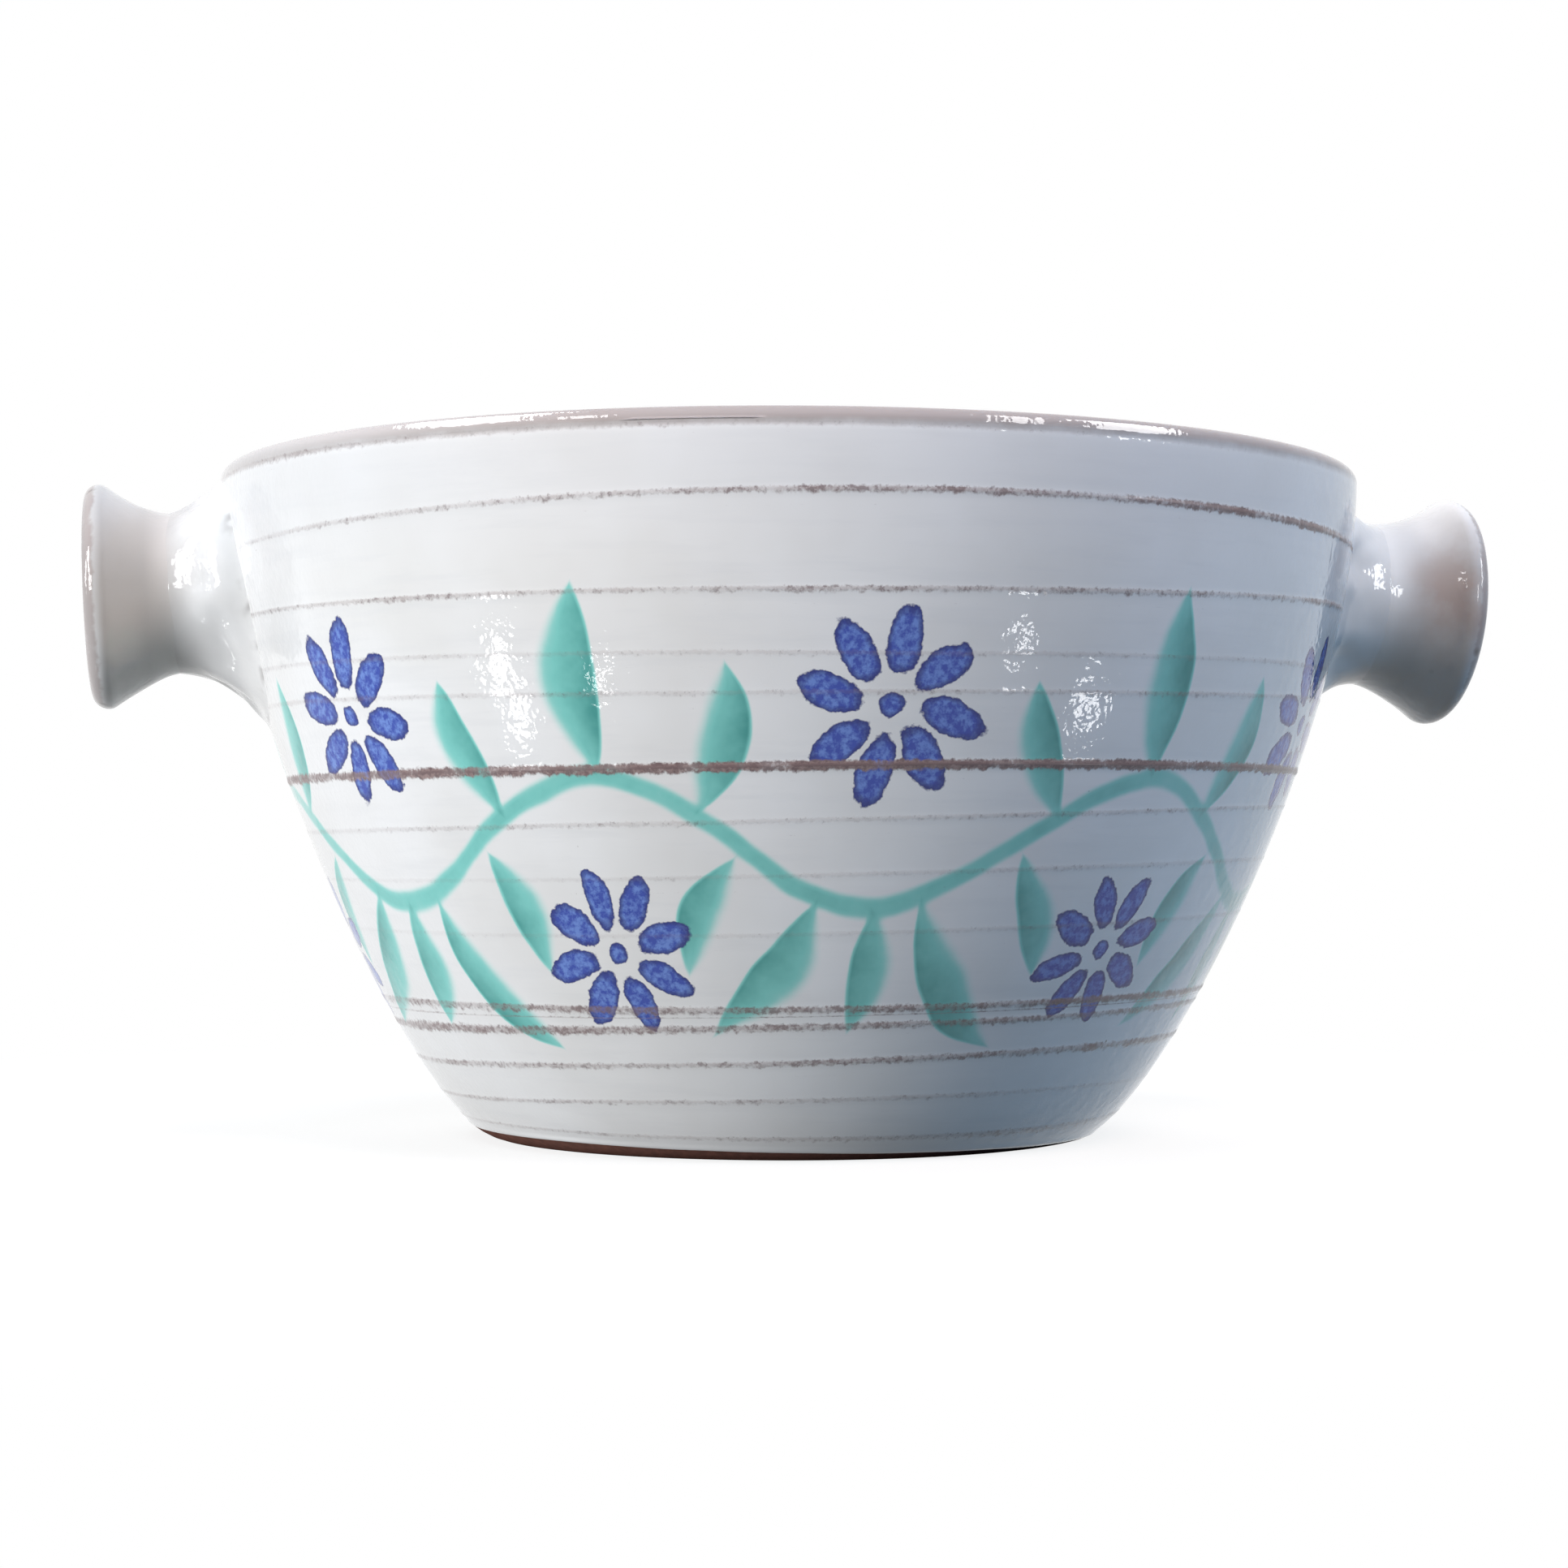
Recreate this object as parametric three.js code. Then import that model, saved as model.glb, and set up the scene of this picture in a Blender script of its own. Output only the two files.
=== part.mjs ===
// Handled bowl: a wheel-thrown, white-glazed serving bowl with two hollow trumpet handles.
// Millimetres, +Z up. The origin is the centre of the foot on the table. The handles lie along X
// and the front of the bowl faces -Y.
import * as THREE from 'three';

// Bowl
const bowlHeight = 142;
const rimRadius = 122.4;
const footRadius = 64;
const wallThickness = 7.5;
const lipThickness = 5;
const floorThickness = 9;
const floorRounding = 13;
const footRingWidth = 10;
const footRecess = 2.5;

// How the outside curve leaves the foot and how it arrives at the rim
const footSpread = 16.9;
const footLift = 5.3;
const rimLean = 0.9;
const rimRun = 50;

// Throwing rings: low ridges left by the fingers as the wall was pulled up
const ringsBelowRim = [16, 33.5, 44.5, 52, 65];
const ringsAboveFoot = [31, 27.7, 20.4];
const ringWidth = 2.4;
const ringRise = 0.35;

// Turned groove that sets the lip off from the wall
const grooveBelowRim = 5.5;
const grooveWidth = 2;
const grooveDepth = 0.5;

// Handles
const handleBelowRim = 25.5;
const handleReach = 32.2;
const neckRadius = 17.5;
const neckLength = 11;
const mouthRadius = 24.6;
const mouthLip = 4.4;
const mouthFlare = THREE.MathUtils.degToRad(40);
const handleWall = 5;
const handleSweep = THREE.MathUtils.degToRad(1.25);
const handleDroop = THREE.MathUtils.degToRad(3);

// Coil of soft clay worked round each joint as a fillet
const coilSpread = 8;
const coilEdge = 0.8;
const jointGap = 0.25;

// Fineness of the round shapes
const bowlSides = 60;
const handleSides = 28;
const wallSteps = 20;
const curveSteps = 6;

const lipRound = lipThickness / 2;
const lipCentreHeight = bowlHeight - lipRound;
const floorTop = footRecess + floorThickness;

// The outside of the wall, from the foot's edge up to where the lip begins to round over.
const wallCurve = new THREE.CubicBezierCurve(
  new THREE.Vector2(footRadius, 0),
  new THREE.Vector2(footRadius + footSpread, footLift),
  new THREE.Vector2(rimRadius - rimLean, lipCentreHeight - rimRun),
  new THREE.Vector2(rimRadius, lipCentreHeight),
);

// Radius of the smooth outside wall at a height, found by halving the curve's range.
function wallRadius(height) {
  let low = 0;
  let high = 1;
  for (let i = 0; i < 40; i++) {
    const middle = (low + high) / 2;
    if (wallCurve.getPoint(middle).y < height) low = middle;
    else high = middle;
  }
  return wallCurve.getPoint(high).x;
}

const rings = [
  ...ringsBelowRim.map((below) => ({ height: bowlHeight - below, width: ringWidth, rise: ringRise })),
  ...ringsAboveFoot.map((height) => ({ height, width: ringWidth, rise: ringRise })),
  { height: bowlHeight - grooveBelowRim, width: grooveWidth, rise: -grooveDepth },
];

// Heights at which the outside is drawn: the curve's own steps, and three for each ring.
function outsideHeights() {
  const nearRing = (height) => rings.some((ring) => Math.abs(height - ring.height) < ring.width);
  const steps = wallCurve.getPoints(wallSteps).map((point) => point.y);
  const plain = steps.filter((height) => !nearRing(height));
  const ridges = rings.flatMap(({ height, width }) => [height - width / 2, height, height + width / 2]);
  return [...plain, ...ridges].sort((a, b) => a - b);
}

function outsidePoints() {
  const crest = new Map(rings.map((ring) => [ring.height, ring.rise]));
  return outsideHeights().map(
    (height) => new THREE.Vector2(wallRadius(height) + (crest.get(height) ?? 0), height),
  );
}

// The lip rolls over in a half circle from the outside to the hollow.
function lipPoints() {
  const centre = new THREE.Vector2(rimRadius - lipRound, lipCentreHeight);
  const roll = new THREE.EllipseCurve(centre.x, centre.y, lipRound, lipRound, 0, Math.PI);
  return roll.getPoints(curveSteps).slice(1, -1);
}

// The hollow follows the outside one wall thickness in, and turns into the floor in one curve.
function hollowPoints() {
  const points = [];
  for (let i = wallSteps; i >= 0; i--) {
    const share = i / wallSteps;
    const at = wallCurve.getPoint(share);
    const along = wallCurve.getTangent(share);
    const thickness = THREE.MathUtils.lerp(wallThickness, lipThickness, share);
    const inner = new THREE.Vector2(at.x - along.y * thickness, at.y + along.x * thickness);
    if (inner.y > floorTop + floorRounding) points.push(inner);
  }
  const [above, last] = points.slice(-2);
  const slope = (above.x - last.x) / (above.y - last.y);
  const corner = new THREE.Vector2(last.x - slope * (last.y - floorTop), floorTop);
  const floorEdge = new THREE.Vector2(corner.x - floorRounding, floorTop);
  const turn = new THREE.QuadraticBezierCurve(last, corner, floorEdge);
  return [...points, ...turn.getPoints(curveSteps).slice(1), new THREE.Vector2(0, floorTop)];
}

// The foot is turned hollow underneath, which leaves a flat ring to stand on.
function footPoints() {
  const ringInside = footRadius - footRingWidth;
  return [
    new THREE.Vector2(0, footRecess),
    new THREE.Vector2(ringInside - footRecess, footRecess),
    new THREE.Vector2(ringInside, 0),
  ];
}

function bowlGeometry() {
  const profile = [...footPoints(), ...outsidePoints(), ...lipPoints(), ...hollowPoints()];
  return new THREE.LatheGeometry(profile, bowlSides).rotateX(Math.PI / 2);
}

// Where a handle meets the wall: a group whose X axis runs out along the handle.
function handleSeat(turn) {
  const height = bowlHeight - handleBelowRim;
  const radius = wallRadius(height);
  const seat = new THREE.Group();
  seat.position.set(radius * Math.cos(turn), radius * Math.sin(turn), height);
  seat.rotation.set(0, handleDroop, turn, 'ZYX');
  seat.updateMatrixWorld();
  return seat;
}

// A point of a sleeve: a distance along its axis, and a distance out from it at an angle from the top.
function sleevePoint(along, out, angle) {
  return new THREE.Vector3(along, out * Math.sin(angle), out * Math.cos(angle));
}

// How far along a handle the wall stands, for a line beside its axis. Clears the throwing rings.
function wallReach(seat, out, angle) {
  let low = -handleReach;
  let high = handleReach;
  for (let i = 0; i < 40; i++) {
    const middle = (low + high) / 2;
    const point = sleevePoint(middle, out, angle).applyMatrix4(seat.matrixWorld);
    const wall = wallRadius(point.z) + ringRise + jointGap;
    if (Math.hypot(point.x, point.y) < wall) low = middle;
    else high = middle;
  }
  return high;
}

// A closed sleeve lofted round the X axis. The section at an angle is a loop of points (along, out),
// drawn anticlockwise.
function sleeveGeometry(sectionAt) {
  const positions = [];
  const indices = [];
  const angles = Array.from({ length: handleSides }, (_, i) => (i / handleSides) * 2 * Math.PI);
  const sections = angles.map(sectionAt);
  const count = sections[0].length;
  sections.forEach((section, i) => {
    const next = (i + 1) % handleSides;
    section.forEach((point, j) => {
      positions.push(...sleevePoint(point.x, point.y, angles[i]).toArray());
      const after = (j + 1) % count;
      const corners = [i * count + j, next * count + j, next * count + after, i * count + after];
      indices.push(corners[0], corners[1], corners[2], corners[0], corners[2], corners[3]);
    });
  });
  const geometry = new THREE.BufferGeometry();
  geometry.setAttribute('position', new THREE.Float32BufferAttribute(positions, 3));
  geometry.setIndex(indices);
  geometry.computeVertexNormals();
  return geometry;
}

// One side of the trumpet: straight to the end of the neck, then flaring to the given mouth point.
function flarePoints(radius, mouth) {
  const neck = new THREE.Vector2(neckLength, radius);
  const bend = new THREE.Vector2(mouth.x - (mouth.y - radius) / Math.tan(mouthFlare), radius);
  return new THREE.QuadraticBezierCurve(neck, bend, mouth).getPoints(curveSteps);
}

// A hollow trumpet: its bore runs from the wall out to a rounded, flared mouth.
function handleGeometry(seat) {
  const boreRadius = neckRadius - handleWall;
  const round = mouthLip / 2;
  const centre = new THREE.Vector2(handleReach - round, mouthRadius - round);
  const tilt = mouthFlare - Math.PI / 2;
  const roll = new THREE.EllipseCurve(centre.x, centre.y, round, round, tilt, tilt + Math.PI);
  const rollPoints = roll.getPoints(curveSteps);
  const inside = flarePoints(boreRadius, rollPoints[0]);
  const outside = flarePoints(neckRadius, rollPoints[curveSteps]).reverse();
  return sleeveGeometry((angle) => [
    new THREE.Vector2(wallReach(seat, boreRadius, angle), boreRadius),
    ...inside,
    ...rollPoints.slice(1, -1),
    ...outside,
    new THREE.Vector2(wallReach(seat, neckRadius, angle), neckRadius),
  ]);
}

// The joint's coil, smeared into a hollow fillet between the wall and the neck. Near the rim it
// spreads only as far as the lip leaves room.
function coilGeometry(seat) {
  const inner = neckRadius + jointGap;
  const room = lipCentreHeight - seat.position.z;
  return sleeveGeometry((angle) => {
    const rise = Math.cos(angle);
    const free = inner + coilSpread;
    const outer = Math.max(Math.min(free, rise > 0 ? room / rise : free), inner + 2 * coilEdge);
    const innerWall = wallReach(seat, inner, angle);
    const outerWall = wallReach(seat, outer, angle);
    const hollow = new THREE.QuadraticBezierCurve(
      new THREE.Vector2(neckLength, inner + coilEdge),
      new THREE.Vector2(innerWall + coilEdge, inner + coilEdge),
      new THREE.Vector2(outerWall + coilEdge, outer),
    );
    return [
      new THREE.Vector2(innerWall, inner),
      new THREE.Vector2(neckLength, inner),
      ...hollow.getPoints(curveSteps),
      new THREE.Vector2(outerWall, outer),
    ];
  });
}

function piece(name, geometry, colour, roughness) {
  const material = new THREE.MeshStandardMaterial({ color: colour, roughness, metalness: 0 });
  const mesh = new THREE.Mesh(geometry, material);
  mesh.name = name;
  return mesh;
}

const handledBowl = new THREE.Group();
handledBowl.add(piece('bowl', bowlGeometry(), '#dcdbd8', 0.18));

const sides = { left: Math.PI - handleSweep, right: handleSweep };
for (const [side, turn] of Object.entries(sides)) {
  const seat = handleSeat(turn);
  seat.add(piece(`${side}_handle`, handleGeometry(seat), '#c9c5bc', 0.2));
  seat.add(piece(`${side}_joint_coil`, coilGeometry(seat), '#d2d0cb', 0.2));
  handledBowl.add(seat);
}

export default handledBowl;
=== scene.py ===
# %% [markdown]
# A thrown bowl with trumpet handles.
#
# This lesson dresses a plain CAD model of a hand-made serving bowl. The bowl was thrown on a wheel,
# two small trumpets were set on its wall as handles, and everything but the foot was dipped in a
# white glaze. The CAD model gives the true sizes. Here we make the fine surface: the throwing rings,
# the smeared joints, the glaze that breaks brown where it is thin, and the painted garland.

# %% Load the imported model
import math

import bpy
import numpy as np
from mathutils import Euler, Matrix, Vector, noise


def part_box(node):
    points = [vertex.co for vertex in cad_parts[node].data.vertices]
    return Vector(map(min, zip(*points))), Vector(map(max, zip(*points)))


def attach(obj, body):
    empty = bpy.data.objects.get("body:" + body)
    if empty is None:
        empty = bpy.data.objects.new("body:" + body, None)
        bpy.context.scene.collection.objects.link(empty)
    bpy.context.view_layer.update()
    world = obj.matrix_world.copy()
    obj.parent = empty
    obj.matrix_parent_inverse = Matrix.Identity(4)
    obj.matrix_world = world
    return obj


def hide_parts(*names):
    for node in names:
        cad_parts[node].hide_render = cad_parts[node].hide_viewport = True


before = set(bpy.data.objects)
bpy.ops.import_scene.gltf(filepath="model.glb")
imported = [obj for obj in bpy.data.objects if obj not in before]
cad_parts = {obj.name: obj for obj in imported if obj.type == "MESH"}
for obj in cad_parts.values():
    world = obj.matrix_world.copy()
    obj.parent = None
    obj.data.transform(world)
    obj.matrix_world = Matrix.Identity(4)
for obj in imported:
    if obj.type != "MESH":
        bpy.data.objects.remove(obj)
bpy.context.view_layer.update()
MM = 0.001

# %% [markdown]
# The wall of the bowl is one sweeping curve, from the edge of the foot to the lip. Such a curve could
# be traced point by point, but a cubic curve with two pulling points says the same with four. Height
# and rim come from the CAD box, so this script follows the model if its size changes.

# %% The curve of the wall
BOWL_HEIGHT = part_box("bowl")[1].z
RIM_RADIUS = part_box("bowl")[1].x
RIM_LEAN = 0.9 * MM
RIM_RUN = 50 * MM
FOOT_RADIUS = 64 * MM
FOOT_SPREAD = 16.9 * MM
FOOT_LIFT = 5.3 * MM
LIP_THICKNESS = 5 * MM
WALL_STEPS = 2001

LIP_ROUND = LIP_THICKNESS / 2
LIP_CENTRE = BOWL_HEIGHT - LIP_ROUND
WALL_PULLS = [
    (FOOT_RADIUS, 0),
    (FOOT_RADIUS + FOOT_SPREAD, FOOT_LIFT),
    (RIM_RADIUS - RIM_LEAN, LIP_CENTRE - RIM_RUN),
    (RIM_RADIUS, LIP_CENTRE),
]


def curve_points(shares, pulls):
    """Points on a curve from the first to the last of its pulls, which is drawn to the others."""
    share = np.asarray(shares, float)[:, None]
    layer = [np.array(pull) + 0 * share for pull in pulls]
    while len(layer) > 1:
        layer = [(1 - share) * a + share * b for a, b in zip(layer, layer[1:])]
    return layer[0]


WALL = curve_points(np.linspace(0, 1, WALL_STEPS), WALL_PULLS)


def wall_radius(height):
    """Radius of the smooth outside wall at a height."""
    return float(np.interp(height, WALL[:, 1], WALL[:, 0]))


def wall_slope(height):
    """How fast the radius grows with height."""
    step = 0.2 * MM
    return (wall_radius(height + step) - wall_radius(height - step)) / (2 * step)


print("radius at half height in mm:", round(wall_radius(BOWL_HEIGHT / 2) / MM, 1))

# %% [markdown]
# Fingers leave rings as they pull the wall up. Each ring is a low, sharp ridge, and the glaze runs off
# its crest, so that brown shows through. No ring is quite level: it climbs to one side, and it bows up
# or down towards the sides. The line under the lip and the edge of the glaze at the foot are lines of
# the same kind, with a dip and a step in place of a ridge. The colour painted along the line under the
# lip is painted shade of its groove, strongest on the left.

# %% Rings on the wall
# height, climb to the right and bow at the sides in mm, cover of the brown on the left and on the right
THROWING_RINGS = [
    (4.9, 0.4, 0.9, 0.30, 0.45),
    (13.3, 1.5, -1.2, 0.42, 0.18),
    (21.0, 2.4, -0.6, 0.42, 0.72),
    (28.0, 2.4, -0.4, 0.60, 0.62),
    (31.3, 0.9, 0.3, 0.48, 0.80),
    (45.9, 2.0, 1.3, 0.08, 0.28),
    (57.1, 2.3, 0.7, 0.10, 0.28),
    (67.5, 3.0, 0.7, 0.22, 0.30),
    (77.4, 1.0, -0.3, 0.84, 1.05),
    (90.6, 1.0, 1.8, 0.20, 0.32),
    (97.7, 0.4, 1.5, 0.18, 0.24),
    (109.3, 1.5, 2.0, 0.38, 0.54),
    (127.0, 0.7, -2.8, 0.22, 0.95),
]
RING_RISE = 0.2 * MM
RING_REACH = 2.4  # mm
RING_SECTION = [  # distance above the crest in mm, share of the rise
    (-1.7, 0.0), (-1.1, 0.1), (-0.6, 0.45), (-0.2, 0.95), (0.0, 1.0), (0.3, 0.6), (0.8, 0.1), (1.3, 0.0),
    (1.7, 0.0),
]
LIP_LINE_HEIGHT = BOWL_HEIGHT / MM - 3.5
LIP_LINE_SECTION = [
    (-1.3, 0.0), (-0.9, 0.0), (-0.4, -0.8), (0.0, -1.9), (0.3, -1.2), (0.6, 0.0), (0.9, 0.0)]
LIP_LINE = (-0.35, 0.0, 0.34, 0.02)  # climb, bow, cover on the left and on the right; the cover is painted shade of the groove
LIP_CLIMB = -0.35
GLAZE_EDGE_HEIGHT = 1.8
GLAZE_EDGE_SECTION = [(-0.4, 0.0), (-0.1, 0.05), (0.1, 0.5), (0.4, 0.7), (0.9, 0.0)]
GLAZE_EDGE_STRENGTH = 1.6
GLAZE_EDGE_CLIMB = -1.2
print("throwing rings:", len(THROWING_RINGS))

# %% [markdown]
# The outline is a list of rows, and each row carries all that the wheel needs to know of it: how it
# climbs, how far it stands out as a crest, how far it lies above the nearest line, and whether it is
# glazed. Between the lines, climb and bow run on evenly.

# %% A row of the outline
BELLY = 0.5 * MM
NO_RING = 9.0  # mm, too far from a crest to show
LEVEL_BELOW = 0.3  # mm, under which the foot is level

knots = [(LEVEL_BELOW, 0, 0)]
knots += [(GLAZE_EDGE_HEIGHT + above, GLAZE_EDGE_CLIMB, 0) for above in (0, 1)]
knots += [ring[:3] for ring in THROWING_RINGS]
knots += [(LIP_LINE_HEIGHT, *LIP_LINE[:2]), (LIP_CENTRE / MM, LIP_CLIMB, 0)]
knot_heights, knot_climbs, knot_bows = np.array(knots, float).T


def make_row(radius, height, **values):
    """One row of the outline, plain but for the values given."""
    row = {
        "radius": radius, "height": height, "slope": wall_slope(height),
        "climb": MM * float(np.interp(height / MM, knot_heights, knot_climbs)),
        "bow": MM * float(np.interp(height / MM, knot_heights, knot_bows)),
        "belly": BELLY * math.sin(math.pi * height / BOWL_HEIGHT),
        "crest": 0.0, "hold": 0.0, "ring": 0.0, "above": NO_RING, "strength": 0.0, "lean": 0.0,
        "glazed": 1.0, "outside": 1.0,
    }
    row.update(values)
    return row


print("values in a row:", list(make_row(RIM_RADIUS, LIP_CENTRE)))

# %% [markdown]
# A line becomes a few rows close together, across its ridge, dip or step. Rings that lie close share
# the space between them.

# %% Rows of the lines
RING_MARGIN = 0.2  # mm
LINE_GAP = 0.05  # mm


def line_rows(number, height, section, left, right):
    """Rows of the outline that follow one line. The outermost two lie beside it."""
    rows = []
    for i, (above, share) in enumerate(section):
        at = (height + above) * MM
        beside = i in (0, len(section) - 1)
        rows.append(make_row(
            wall_radius(at), at, crest=share * RING_RISE, hold=1 - 0.5 * (above / section[0][0]) ** 2,
            ring=number, above=above, strength=0.0 if beside else (left + right) / 2,
            lean=(right - left) / (right + left)))
    return rows


def ring_section(room):
    """The section of a ring, cut short where the next line is near."""
    reach = min(room, RING_REACH)
    inner = [(above, share) for above, share in RING_SECTION if abs(above) < reach - RING_MARGIN]
    return [(-reach, 0.0)] + inner + [(reach, 0.0)]


lines = []
ring_heights = [GLAZE_EDGE_HEIGHT] + [ring[0] for ring in THROWING_RINGS] + [LIP_LINE_HEIGHT]
for number, (height, _, _, left, right) in enumerate(THROWING_RINGS, 1):
    room = min(height - ring_heights[number - 1], ring_heights[number + 1] - height) / 2 - LINE_GAP
    lines.append(line_rows(number, height, ring_section(room), left, right))
# painted shade: the lip line's cover paints its groove's shade in the ring colours
lines.append(line_rows(len(lines) + 1, LIP_LINE_HEIGHT, LIP_LINE_SECTION, *LIP_LINE[2:]))
glaze_edge = line_rows(
    len(lines) + 1, GLAZE_EDGE_HEIGHT, GLAZE_EDGE_SECTION, GLAZE_EDGE_STRENGTH, GLAZE_EDGE_STRENGTH)
for row in glaze_edge:
    row["glazed"] = 1.0 if row["above"] > 0 else 0.0
    row["above"] = NO_RING
lines.append(glaze_edge)
print("lines on the wall:", len(lines))

# %% [markdown]
# The outline of the whole bowl runs from the middle of its underside, over the foot, up the wall, over
# the lip and down the hollow to the middle of the floor. The foot comes first. Its underside keeps the
# fine lines of the turning tool.

# %% Outline of the foot and the outside
FOOT_RECESS = 2.5 * MM
FOOT_RING_WIDTH = 10 * MM
FOOT_EDGE = [(0.0, 1.4), (0.15, 0.8), (0.5, 0.3), (1.0, 0.08)]  # height and how far in, in mm
FOOT_STEPS = 6
TURNING_LINE = 3.9 * MM
TURNING_DEPTH = 0.1 * MM
ROW_GAP = 2.2 * MM
ROW_MERGE = 0.12 * MM


def foot_rows():
    """Rows from the middle of the underside to the edge of the foot, all bare clay."""
    inside = FOOT_RADIUS - FOOT_RING_WIDTH
    under = {"slope": 0.0, "climb": 0.0, "bow": 0.0, "glazed": 0.0, "outside": 0.0}
    rows = []
    for radius in np.arange(0, inside - 1.5 * FOOT_RECESS, TURNING_LINE / 4):
        dip = TURNING_DEPTH * math.cos(2 * math.pi * radius / TURNING_LINE)
        rows.append(make_row(radius, FOOT_RECESS + dip, **under))
    for angle in np.linspace(0, math.pi / 2, FOOT_STEPS):
        rows.append(make_row(
            inside - FOOT_RECESS * (1 - math.sin(angle)), FOOT_RECESS * math.cos(angle), **under))
    for radius in np.linspace(inside, FOOT_RADIUS - FOOT_EDGE[0][1] * MM, FOOT_STEPS)[1:-1]:
        rows.append(make_row(radius, 0.0, **under))
    for height, inward in FOOT_EDGE:
        rows.append(make_row(wall_radius(height * MM) - inward * MM, height * MM, glazed=0.0))
    return rows


def outside_rows():
    """Rows up the outside: every line's rows, with plain rows wherever they leave a wide gap."""
    rows = sorted((row for line in lines for row in line), key=lambda row: row["height"])
    kept = [rows[0]]
    for row in rows[1:]:
        if row["height"] - kept[-1]["height"] > ROW_MERGE:
            kept.append(row)
    filled = []
    for low, high in zip(kept, kept[1:] + [make_row(RIM_RADIUS, LIP_CENTRE)]):
        filled.append(low)
        count = int((high["height"] - low["height"]) / ROW_GAP)
        for at in np.linspace(low["height"], high["height"], count + 2)[1:-1]:
            filled.append(make_row(wall_radius(at), at))
    return filled


bowl_rows = foot_rows() + outside_rows()
print("rows of the foot and the outside:", len(bowl_rows))

# %% [markdown]
# The lip is a half circle. The hollow follows the outside one wall thickness in, with soft finger
# waves, and turns into a floor that keeps a low button in its middle, where the throwing began. Two
# small functions shape such things here and later: a ramp and a bell.

# %% Outline of the lip and the hollow
WALL_THICKNESS = 7.5 * MM
FLOOR_TOP = 11.5 * MM
FLOOR_ROUNDING = 13 * MM
FLOOR_BUTTON_RADIUS = 9 * MM
FLOOR_BUTTON_RISE = 0.9 * MM
FINGER_WAVE = 9.5 * MM
FINGER_DEPTH = 0.22 * MM
LIP_CLIMB_DEPTH = 25 * MM
LIP_STEPS, HOLLOW_STEPS, TURN_STEPS, FLOOR_STEPS = 16, 64, 16, 34
SMALL = 1e-4


def ramp(value, start, run):
    """Zero before the start, one after the run."""
    return np.clip((value - start) / run, 0, 1)


def bell(value, middle, spread):
    """One at the middle, fading to both sides."""
    return np.exp(-(((value - middle) / spread) ** 2))


def lip_rows():
    """Rows over the rounded lip."""
    centre = RIM_RADIUS - LIP_ROUND
    return [
        make_row(
            centre + LIP_ROUND * math.cos(turn), LIP_CENTRE + LIP_ROUND * math.sin(turn),
            outside=1.0 if turn < math.pi / 2 else 0.0)
        for turn in np.linspace(0, math.pi, LIP_STEPS)]


def finger_wave(place):
    """The waves that fingers leave, along a line of places."""
    return FINGER_DEPTH * np.cos(2 * math.pi * place / FINGER_WAVE)


def hollow_points():
    """Points (radius, height) down the hollow, round its turn and over the floor."""
    shares = np.linspace(1, 0, HOLLOW_STEPS)[1:]
    outer, before, after = (
        curve_points(np.clip(shares + step, 0, 1), WALL_PULLS) for step in (0, -SMALL, SMALL))
    along = (after - before) / np.linalg.norm(after - before, axis=1)[:, None]
    thick = WALL_THICKNESS + (LIP_THICKNESS - WALL_THICKNESS) * shares
    thick += finger_wave(outer[:, 1]) * (1 - shares**6)
    inner = outer + np.column_stack([-along[:, 1], along[:, 0]]) * thick[:, None]
    inner = inner[inner[:, 1] > FLOOR_TOP + FLOOR_ROUNDING]
    last = inner[-1]
    slope = (inner[-3, 0] - last[0]) / (inner[-3, 1] - last[1])
    corner = np.array((last[0] - slope * (last[1] - FLOOR_TOP), FLOOR_TOP))
    edge = corner - (FLOOR_ROUNDING, 0)
    turn = curve_points(np.linspace(0, 1, TURN_STEPS)[1:], [last, corner, edge])
    radii = np.linspace(edge[0], 0, FLOOR_STEPS)[1:]
    button = FLOOR_BUTTON_RISE * bell(radii, 0, FLOOR_BUTTON_RADIUS)
    ripple = finger_wave(radii) * ramp(edge[0] - radii, 0, FLOOR_ROUNDING)
    return np.vstack([inner, turn, np.column_stack([radii, FLOOR_TOP + button + ripple])])


def hollow_rows():
    """Rows of the hollow. Near the lip they climb with it."""
    rows = []
    for radius, height in hollow_points():
        near_lip = max(0.0, 1 - (LIP_CENTRE - height) / LIP_CLIMB_DEPTH)
        rows.append(make_row(
            radius, height, slope=0.0, climb=LIP_CLIMB * MM * near_lip, bow=0.0, outside=0.0))
    return rows


bowl_rows += lip_rows() + hollow_rows()
print("rows in the outline:", len(bowl_rows))

# %% [markdown]
# One small function adds a node to any tree. It fills the node's visible inputs in order, with a value,
# a socket or another node, and sets whatever else it is told. It keeps the trees below short to read.

# %% A function that adds a node


def socket_of(value):
    """The socket to link from: a number's own, or the first output in use of a node."""
    if isinstance(value, Number):
        return value.socket
    if isinstance(value, bpy.types.Node):
        return next(output for output in value.outputs if output.enabled)
    return value


def add(tree, kind, *values, **settings):
    """Adds a node with its settings, and links or sets its inputs in order."""
    node = tree.nodes.new(kind)
    for name, setting in settings.items():
        setattr(node, name, setting)
    inputs = [socket for socket in node.inputs if socket.enabled]
    for socket, value in zip(inputs, values):
        value = socket_of(value)
        if isinstance(value, bpy.types.NodeSocket):
            tree.links.new(value, socket)
        elif value is not None:
            socket.default_value = value
    return node


# %% [markdown]
# Most nodes below are sums. A small class for a number in a tree lets us write them with the usual
# signs, and each sign adds its Math node.

# %% Arithmetic with nodes


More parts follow.
